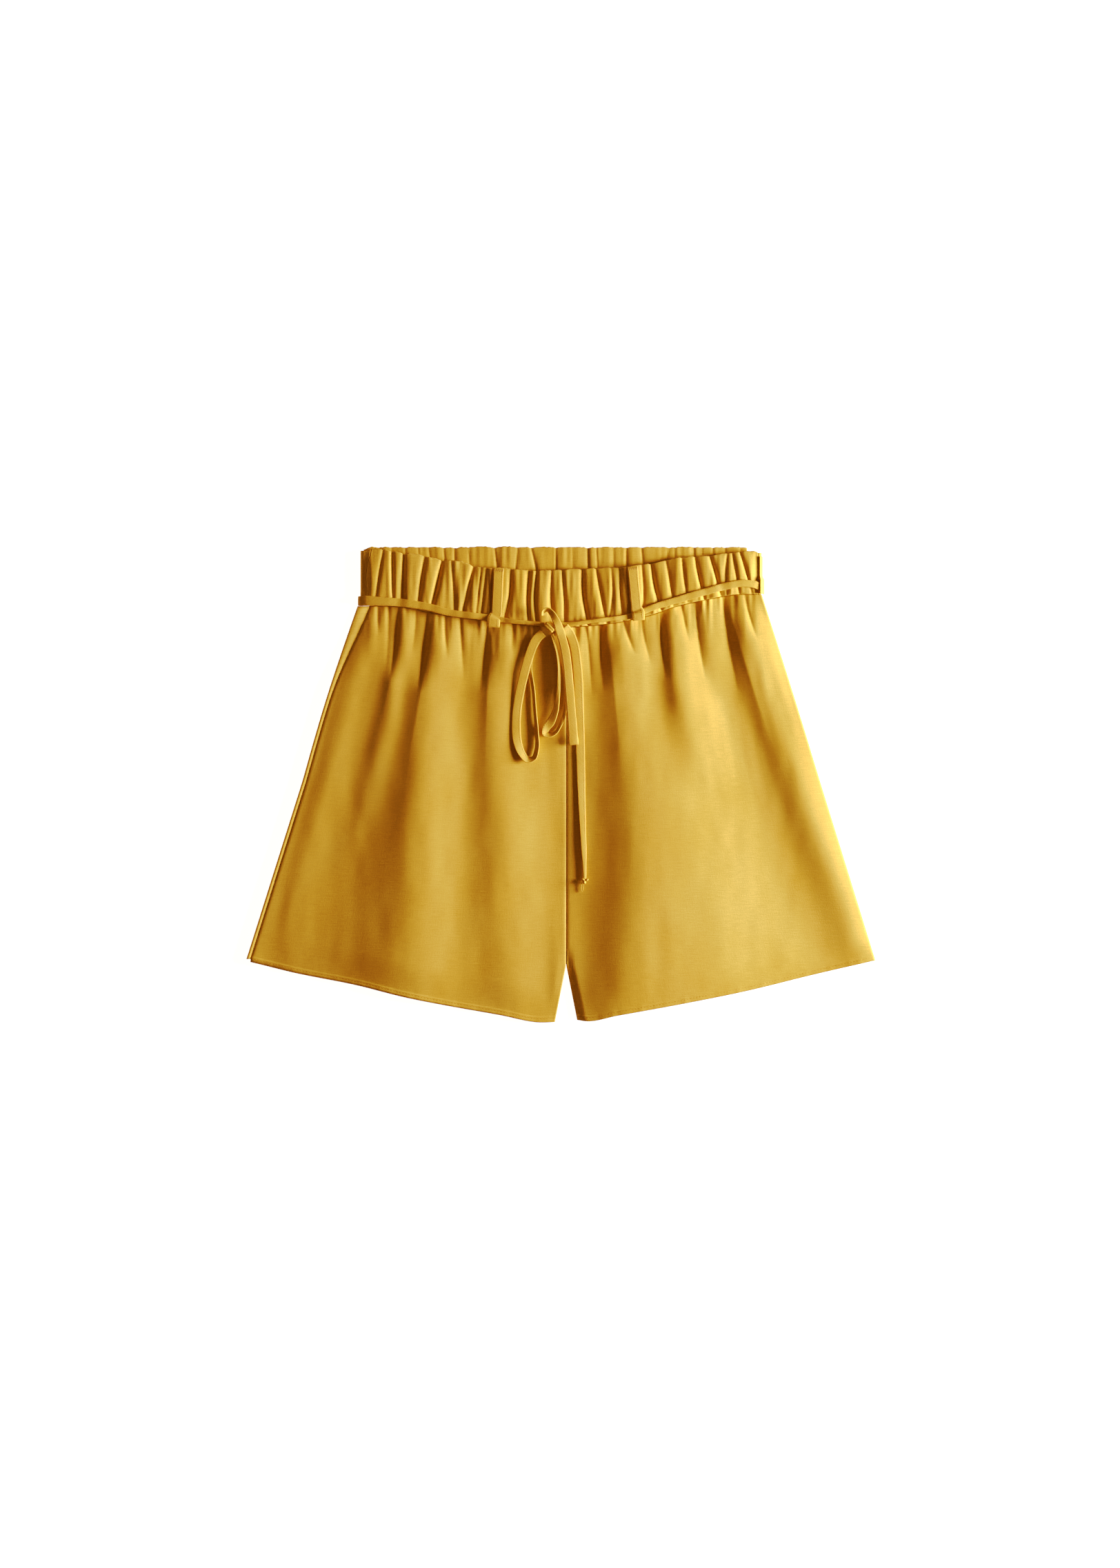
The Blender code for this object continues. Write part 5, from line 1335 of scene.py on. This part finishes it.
def tie_front(stops, side):
    """One half of the tie on the front, from the knot round the side edge."""
    centres, rolls = stops_on_cloth(stops, TIE_STEPS)
    edge_x = side * (WAIST_RIGHT - BAND_EDGE / 2)
    top = BAND_EDGE + SEAM_GAP + TAPE_WALL / 2 + EDGE_LIFT
    round_it = round_band_edge(edge_x, float(tie_back_y(edge_x)), side, top, TAPE_WALL / 2)
    level_ups = np.tile((0.0, 0.0, 1.0), (TIE_STEPS, 1))
    rolls = np.concatenate([rolls * -side, np.zeros(len(round_it[0]))])
    centres, ups = np.concatenate([centres, round_it[0]]), np.concatenate([level_ups, round_it[1]])
    return ribbon(centres, rolls, ups)


def tie_back():
    """The tie behind the waist, under the band and over the back belt loops."""
    reach = WAIST_RIGHT - BAND_EDGE / 2 - SEAM_GAP
    step = BELT_LOOP_WIDTH / 2 + BESIDE_BACK_LOOP[0]
    ramp = BESIDE_BACK_LOOP[1]
    rows = [(-reach, 0)]
    for loop in BACK_LOOPS:
        rows += [(loop.x - step - ramp, 0), (loop.x - step, 1)]
        rows += [(loop.x + step, 1), (loop.x + step + ramp, 0)]
    rows += [(reach, 0)]
    x = np.linspace(-reach, reach, 2 * TIE_STEPS)
    z = TAPE_WALL / 2 + np.interp(x, *zip(*rows)) * (TAPE_WALL + SEAM_GAP)
    return ribbon(np.stack([x, tie_back_y(x), z], axis=1), np.zeros(len(x)))


def belt_loop_front(loop):
    """A belt loop on the front: sewn at the band's top, over the tie, sewn below it."""
    share = np.linspace(0, 1, LOOP_STEPS)
    aside = loop.foot_shift * ease((share - FOOT_ASIDE[0]) / FOOT_ASIDE[1])
    x = loop.x_top + (loop.x_low - loop.x_top) * share + aside
    y = loop.y_top + (loop.y_low - loop.y_top) * share
    z = evened(bed(front_surface, x, y) + SEAM_GAP + TAPE_WALL / 2, LOOP_EVENED)
    z = z + FOOT_LIFT * ease((share - FOOT_DOUBLE[0]) / FOOT_DOUBLE[1])
    return ribbon(np.stack([x, y, z], axis=1), np.zeros(LOOP_STEPS))


def belt_loop_back(x):
    """A belt loop behind the waist, flat on the table."""
    y = np.linspace(BACK_TOP - BACK_LOOP_DROP, back_band_low(x), BACK_LOOP_STEPS)
    centres = np.stack([x + 0 * y, y, TAPE_WALL / 2 + 0 * y], axis=1)
    return ribbon(centres, np.zeros(BACK_LOOP_STEPS))


def belt_loop_side(finish):
    """The belt loop at the wearer's left side edge: it follows the edge and stands off the tie."""
    y = np.linspace(*SIDE_LOOP_Y, SIDE_LOOP_STEPS[0])[:, None]
    x = WAIST_RIGHT - BAND_EDGE / 2
    over_tie = close_to(np.abs(y - tie_back_y(x)), TIE_WIDTH / 2, BESIDE_TIE_AT_SIDE)
    reach = BAND_EDGE / 2 + TAPE_WALL + over_tie * (TAPE_WALL + 2 * SEAM_GAP)
    turns = np.radians(np.linspace(*SIDE_LOOP_TURN, SIDE_LOOP_STEPS[1]))[None, :]
    out_x = x + reach * np.cos(turns)
    z = BAND_EDGE / 2 + SIDE_LOOP_LIFT + reach * np.sin(turns)
    grid = flat_cloth(np.stack([out_x, y + 0 * out_x, z], axis=2), BELT_LOOP_WIDTH)
    return cloth("belt_loop_side_cloth", [grid], finish, SIDE_LOOP_SHELL)


# ---- stitches --------------------------------------------------------------------------


def stitches(name, rows, finish):
    """One mesh of short rounded stitches from rows of (places, ways, ups, length)."""
    turns = np.linspace(0, 2 * np.pi, STITCH_SIDES, endpoint=False)
    shape = np.array(
        [(at, size * np.cos(turn), size * np.sin(turn)) for at, size in STITCH_SHAPE for turn in turns]
    )
    first = np.arange(STITCH_SIDES)
    after = (first + 1) % STITCH_SIDES
    side = np.stack([first, after, after + STITCH_SIDES, first + STITCH_SIDES], axis=1)
    faces = np.concatenate([side + STITCH_SIDES * ring for ring in range(len(STITCH_SHAPE) - 1)])
    points = []
    for places, ways, ups, length in rows:
        ways = ways / np.linalg.norm(ways, axis=1)[:, None]
        across = np.cross(ways, ups)
        across = across / np.linalg.norm(across, axis=1)[:, None]
        above = np.cross(across, ways)
        for place, way, side_way, up_way in zip(places, ways, across, above):
            axes = np.stack([length * way, STITCH_RADIUS * side_way, STITCH_RADIUS * up_way])
            points.append(place + shape @ axes)
    quads = np.concatenate([faces + number * len(shape) for number in range(len(points))])
    points = np.concatenate(points)
    return mesh_piece(name, points, quads, points[:, :2], finish)


def read_along(stations, rows, at):
    """Each column of rows read at distances along their stations."""
    return np.stack([np.interp(at, stations, column) for column in rows.T], axis=1)


def spaced_rows(places, ups, pitch=STITCH_PITCH, length=STITCH_LENGTH):
    """Evenly pitched stitches along a line of places."""
    stations = stations_along(places)
    at = np.arange(pitch / 2, stations[-1] - pitch / 3, pitch)
    ways = read_along(stations, places, at + 0.4) - read_along(stations, places, at - 0.4)
    return read_along(stations, places, at), ways, read_along(stations, ups, at), length


def tape_stitches(run, offset, wall=TAPE_WALL):
    """Stitches along a tape, offset from its centre line towards its right edge."""
    aside = run.sideways * np.broadcast_to(offset, len(run.centres))[:, None]
    above = run.upwards * (np.broadcast_to(wall, len(run.centres))[:, None] / 2 - TAPE_STITCH_SINK)
    return spaced_rows(run.centres + aside + above, run.upwards, TAPE_STITCH_PITCH, TAPE_STITCH_LENGTH)


def hem_stitches(name, hem, x_start, x_end, finish):
    """The stitch line of a front hem."""
    x = np.linspace(x_start, x_end, HEM_STITCH_STEPS)
    y = curve_y(hem, x) + HEM_STITCH_LINE
    places = np.stack([x, y, leg_surface(x, y) + STITCH_LIFT], axis=1)
    ups = np.tile((0.0, 0.0, 1.0), (len(x), 1))
    return stitches(name, [spaced_rows(places, ups)], finish)


def bar_tack(run, station):
    """A tight zigzag of stitches across a tape, near one of its points."""
    across = run.sideways[station]
    up = run.upwards[station]
    offsets = np.linspace(-TACK_REACH, TACK_REACH, TACK_COUNT) * BELT_LOOP_WIDTH
    places = run.centres[station] + np.outer(offsets, across) + up * (TAPE_WALL / 2 + TACK_LIFT)
    slant = np.where(np.arange(TACK_COUNT) % 2 == 0, 1, -1)
    ways = across / 2 + np.outer(slant, np.cross(up, across))
    return places, ways, np.tile(up, (TACK_COUNT, 1)), TACK_LENGTH


# ---- knots -----------------------------------------------------------------------------


def tube(name, centres, radius, finish):
    """A round thread along a smooth line."""
    run = ribbon(centres, np.zeros(len(centres)))
    turns = np.linspace(0, 2 * np.pi, THREAD_SIDES + 1)[None, :, None]
    out = np.cos(turns) * run.sideways[:, None] + np.sin(turns) * run.upwards[:, None]
    rings = run.centres[:, None] + radius * out
    return grid_piece(name, capped(np.concatenate([rings, rings[..., :2]], axis=2)), finish)


def bed_at(x, y):
    """The height of what lies under one point of the bow."""
    return float(bed(front_surface, np.array([x]), np.array([y]))[0])


def knot_lump(finish):
    """The bow's knot: a firm lump, with the folds of the tape that is drawn across it."""
    turns = np.linspace(0, 2 * np.pi, KNOT_STEPS[0])
    tilts = np.linspace(-np.pi / 2, np.pi / 2, KNOT_STEPS[1])
    tilt, turn = np.meshgrid(tilts, turns, indexing="ij")
    across = np.cos(tilt) * np.cos(turn)
    up = np.cos(tilt) * np.sin(turn)
    away = np.sin(tilt)
    box = np.maximum(np.maximum(np.abs(across), np.abs(away)), np.abs(up)) ** KNOT_SQUARE
    uneven = rippled((KNOT_UNEVEN,), across, away)
    folds = 1 + KNOT_FOLD_HEIGHT * np.sin(KNOT_FOLDS * across) + uneven
    half_width, half_length, half_height = [box * folds * size / 2 for size in KNOT_LUMP]
    lean = np.radians(KNOT_LEAN)
    x = KNOT_AT[0] + across * half_width * np.cos(lean) - away * half_length * np.sin(lean)
    y = KNOT_AT[1] - KNOT_DROP + across * half_width * np.sin(lean) + away * half_length * np.cos(lean)
    z = bed_at(*KNOT_AT) + SEAM_GAP + KNOT_RISE + up * half_height
    grid = np.stack([x, y, z, turn * KNOT_CLOTH[0], tilt * KNOT_CLOTH[1]], axis=2)[:, ::-1]
    return grid_piece("tie_knot_lump", grid, finish)


# ---- the stage -------------------------------------------------------------------------


def camera():
    """Straight above the shorts, so that one pixel is PIXEL mm on them."""
    data = bpy.data.cameras.new("camera")
    data.sensor_width = SENSOR
    data.lens = SENSOR * CAMERA_HEIGHT / (max(IMAGE_SIZE) * PIXEL)
    data.clip_start, data.clip_end = CAMERA_CLIP
    eye = bpy.data.objects.new("camera", data)
    eye.location = (VIEW_CENTRE[0] * METRES, VIEW_CENTRE[1] * METRES, CAMERA_HEIGHT * METRES)
    bpy.context.scene.collection.objects.link(eye)
    bpy.context.scene.camera = eye


def lamp():
    """A soft area light that points at the shorts, low on the wearer's left."""
    data = bpy.data.lights.new("key_light", "AREA")
    data.energy = KEY_POWER
    data.size = KEY_SIZE
    light = bpy.data.objects.new("key_light", data)
    up = np.radians(KEY_ELEVATION)
    turn = np.radians(KEY_AZIMUTH)
    level = np.cos(up)
    light.location = KEY_DISTANCE * np.array([level * np.cos(turn), level * np.sin(turn), np.sin(up)])
    light.rotation_mode = "QUATERNION"
    light.rotation_quaternion = light.location.to_track_quat("Z", "Y")
    bpy.context.scene.collection.objects.link(light)


def tone():
    """The picture's tone, as the camera sets it."""
    view = bpy.context.scene.view_settings
    view.view_transform = "Standard"
    view.use_curve_mapping = True
    for curve, stops in zip(view.curve_mapping.curves, TONES):
        curve.points[0].location = stops[0]
        curve.points[1].location = stops[-1]
        for stop in stops[1:-1]:
            curve.points.new(*stop)
        for point in curve.points:
            point.handle_type = "AUTO_CLAMPED"
    view.curve_mapping.update()


def stage():
    """A pale floor, a low soft light from the right and an even fill."""
    mesh = bpy.data.meshes.new("floor")
    ends = (-FLOOR_REACH, FLOOR_REACH)
    mesh.from_pydata([(x, y, 0) for x in ends for y in ends], [], [(0, 2, 3, 1)])
    mesh.materials.append(plain("pale_floor", FLOOR_COLOUR, FLOOR_ROUGHNESS, FLOOR_GLOW))
    floor = bpy.data.objects.new("floor", mesh)
    floor.location.z = -FLOOR_GAP
    bpy.context.scene.collection.objects.link(floor)
    lamp()
    world = bpy.data.worlds.new("room")
    world.use_nodes = True
    background = world.node_tree.nodes["Background"]
    background.inputs["Color"].default_value = (*FILL_COLOUR, 1)
    background.inputs["Strength"].default_value = FILL
    bpy.context.scene.world = world
    tone()


# ---- dressing --------------------------------------------------------------------------


def dress(piece, slot, *nodes):
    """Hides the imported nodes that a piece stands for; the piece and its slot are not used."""
    if nodes:
        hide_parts(*nodes)


def girth_of(girth, count):
    """A tape's width and wall at each of its points."""
    at = np.linspace(0, 1, count)
    return np.interp(at, girth.shares, girth.widths), np.interp(at, girth.shares, girth.walls)


def free_ends(finish, thread):
    """The bow's two loops and two tails: free lengths of tape."""
    knot_thread = tail_knot(finish)
    for number, (name, stops, girth, count, far_end, side) in enumerate(FREE_ENDS):
        centres, rolls = stops_on_cloth(stops, count)
        run = ribbon(centres, rolls)
        width, wall = girth_of(girth, count)
        piece = tape(name + "_cloth", run, finish, width, wall, number)
        dress(piece, "linen_tape", name)
        rows = [tape_stitches(run, side * (width / 2 - TAPE_STITCH_INSET), wall)]
        sewn = stitches(name + "_stitches", rows, thread)
        dress(sewn, "linen_tape")


def tail_knot(finish):
    """The small knot of thread that ends the long tail, and the thread that hangs from it.

    The knot's line is a flat pretzel 5 mm wide, and the loop below it hangs 9 mm down.
    """
    end = TAIL_LONG[-1]
    z = bed_at(end.x, end.y) + 1.6
    t = np.linspace(0, 2 * np.pi * 0.97, 60)
    lump_x = end.x + 1.5 * (np.sin(t) + 0.9 * np.sin(2 * t))
    lump_y = end.y - 1.2 + 1.1 * (np.cos(t) - 0.9 * np.cos(2 * t))
    lump = np.stack([lump_x, lump_y, z + 0.7 * np.sin(3 * t)], axis=1)
    turn = np.linspace(0, 2 * np.pi, 40)
    down = 1 - np.cos(turn)
    hang_x = end.x - 1.6 + 0.9 * np.sin(turn) - 0.5 * down
    hang = np.stack([hang_x, end.y - 2.0 - 4.4 * down, z - 0.9 - 0.15 * down], axis=1)
    rows = (("tail_knot_thread", lump), ("tail_thread_loop", hang))
    pieces = [tube(name, line, size, finish) for (name, line), size in zip(rows, THREAD_RADII)]
    for piece in pieces:
        dress(piece, "linen_tape")
    return pieces


def legs_and_band():
    """The four legs and the two halves of the waistband."""
    leg_linen = linen("linen_cloth", LINEN_LIGHT, LINEN_DARK)
    band_linen = linen("linen_band_cloth", BAND_LIGHT, BAND_DARK)
    for make, node in (
        (front_right_leg, "front_right_leg"),
        (front_left_leg, "front_left_leg"),
        (back_right_leg, "back_right_leg"),
        (back_left_leg, "back_left_leg"),
    ):
        piece = make(leg_linen)
        dress(piece, "linen", node)
    for make, node in ((waistband_front, "waistband_front"), (waistband_back, "waistband_back")):
        piece = make(band_linen)
        dress(piece, "linen_band", node)


def tie_round_waist(thread):
    """The tie's front halves, its back and the bow's knot."""
    tie_linen = linen("linen_tie_cloth", BAND_LIGHT, BAND_DARK, BIAS)
    for name, stops, girth, side in (
        ("tie_front_right", TIE_RIGHT_FRONT, TIE_RIGHT_GIRTH, -1),
        ("tie_front_left", TIE_LEFT_FRONT, TIE_LEFT_GIRTH, 1),
    ):
        run = tie_front(stops, side)
        width, wall = girth_of(girth, len(run.centres))
        piece = tape(name + "_cloth", run, tie_linen, width, wall, TIE_SEED + side)
        dress(piece, "linen_tape", name)
        rows = [tape_stitches(run, TAPE_STITCH_INSET - width / 2, wall)]
        dress(stitches(name + "_stitches", rows, thread), "linen_tape")
    back = tape("tie_back_cloth", tie_back(), tie_linen, seed=TIE_BACK_SEED)
    dress(back, "linen_tape", "tie_back")
    dress(knot_lump(tie_linen), "linen_tape", "tie_knot")


def belt_loops(tape_linen, thread):
    """Two belt loops on the front, two on the back and one at the side."""
    for number, loop in enumerate(FRONT_LOOPS):
        run = belt_loop_front(loop)
        width, wall = girth_of(BELT_LOOP_GIRTH, len(run.centres))
        piece = tape(loop.name + "_cloth", run, tape_linen, width, wall, FRONT_LOOP_SEED + number)
        dress(piece, "linen_tape", loop.name)
        edge = BELT_LOOP_WIDTH / 2 - LOOP_STITCH_INSET
        rows = [tape_stitches(run, edge, wall), tape_stitches(run, -edge, wall)]
        rows += [bar_tack(run, station) for station in TACKED]
        dress(stitches(loop.name + "_stitches", rows, thread), "linen_tape")
    for number, loop in enumerate(BACK_LOOPS):
        run = belt_loop_back(loop.x)
        seed = BACK_LOOP_SEED + number
        piece = tape(loop.name + "_cloth", run, tape_linen, BELT_LOOP_WIDTH, seed=seed)
        dress(piece, "linen_tape", loop.name)
    dress(belt_loop_side(tape_linen), "linen_tape", SIDE_LOOP)


def main():
    """The stage first, and then every piece of the shorts."""
    camera()
    stage()
    tape_linen = linen("linen_tape_cloth", TAPE_LIGHT, TAPE_DARK, BIAS)
    thread = plain("sewing_thread", THREAD_COLOUR, THREAD_ROUGHNESS)
    free_ends(tape_linen, thread)
    legs_and_band()
    tie_round_waist(thread)
    belt_loops(tape_linen, thread)
    for side, hem, start, end in HEM_ROWS:
        dress(hem_stitches(f"hem_stitches_{side}_leg", hem, start, end, thread), "linen")


main()
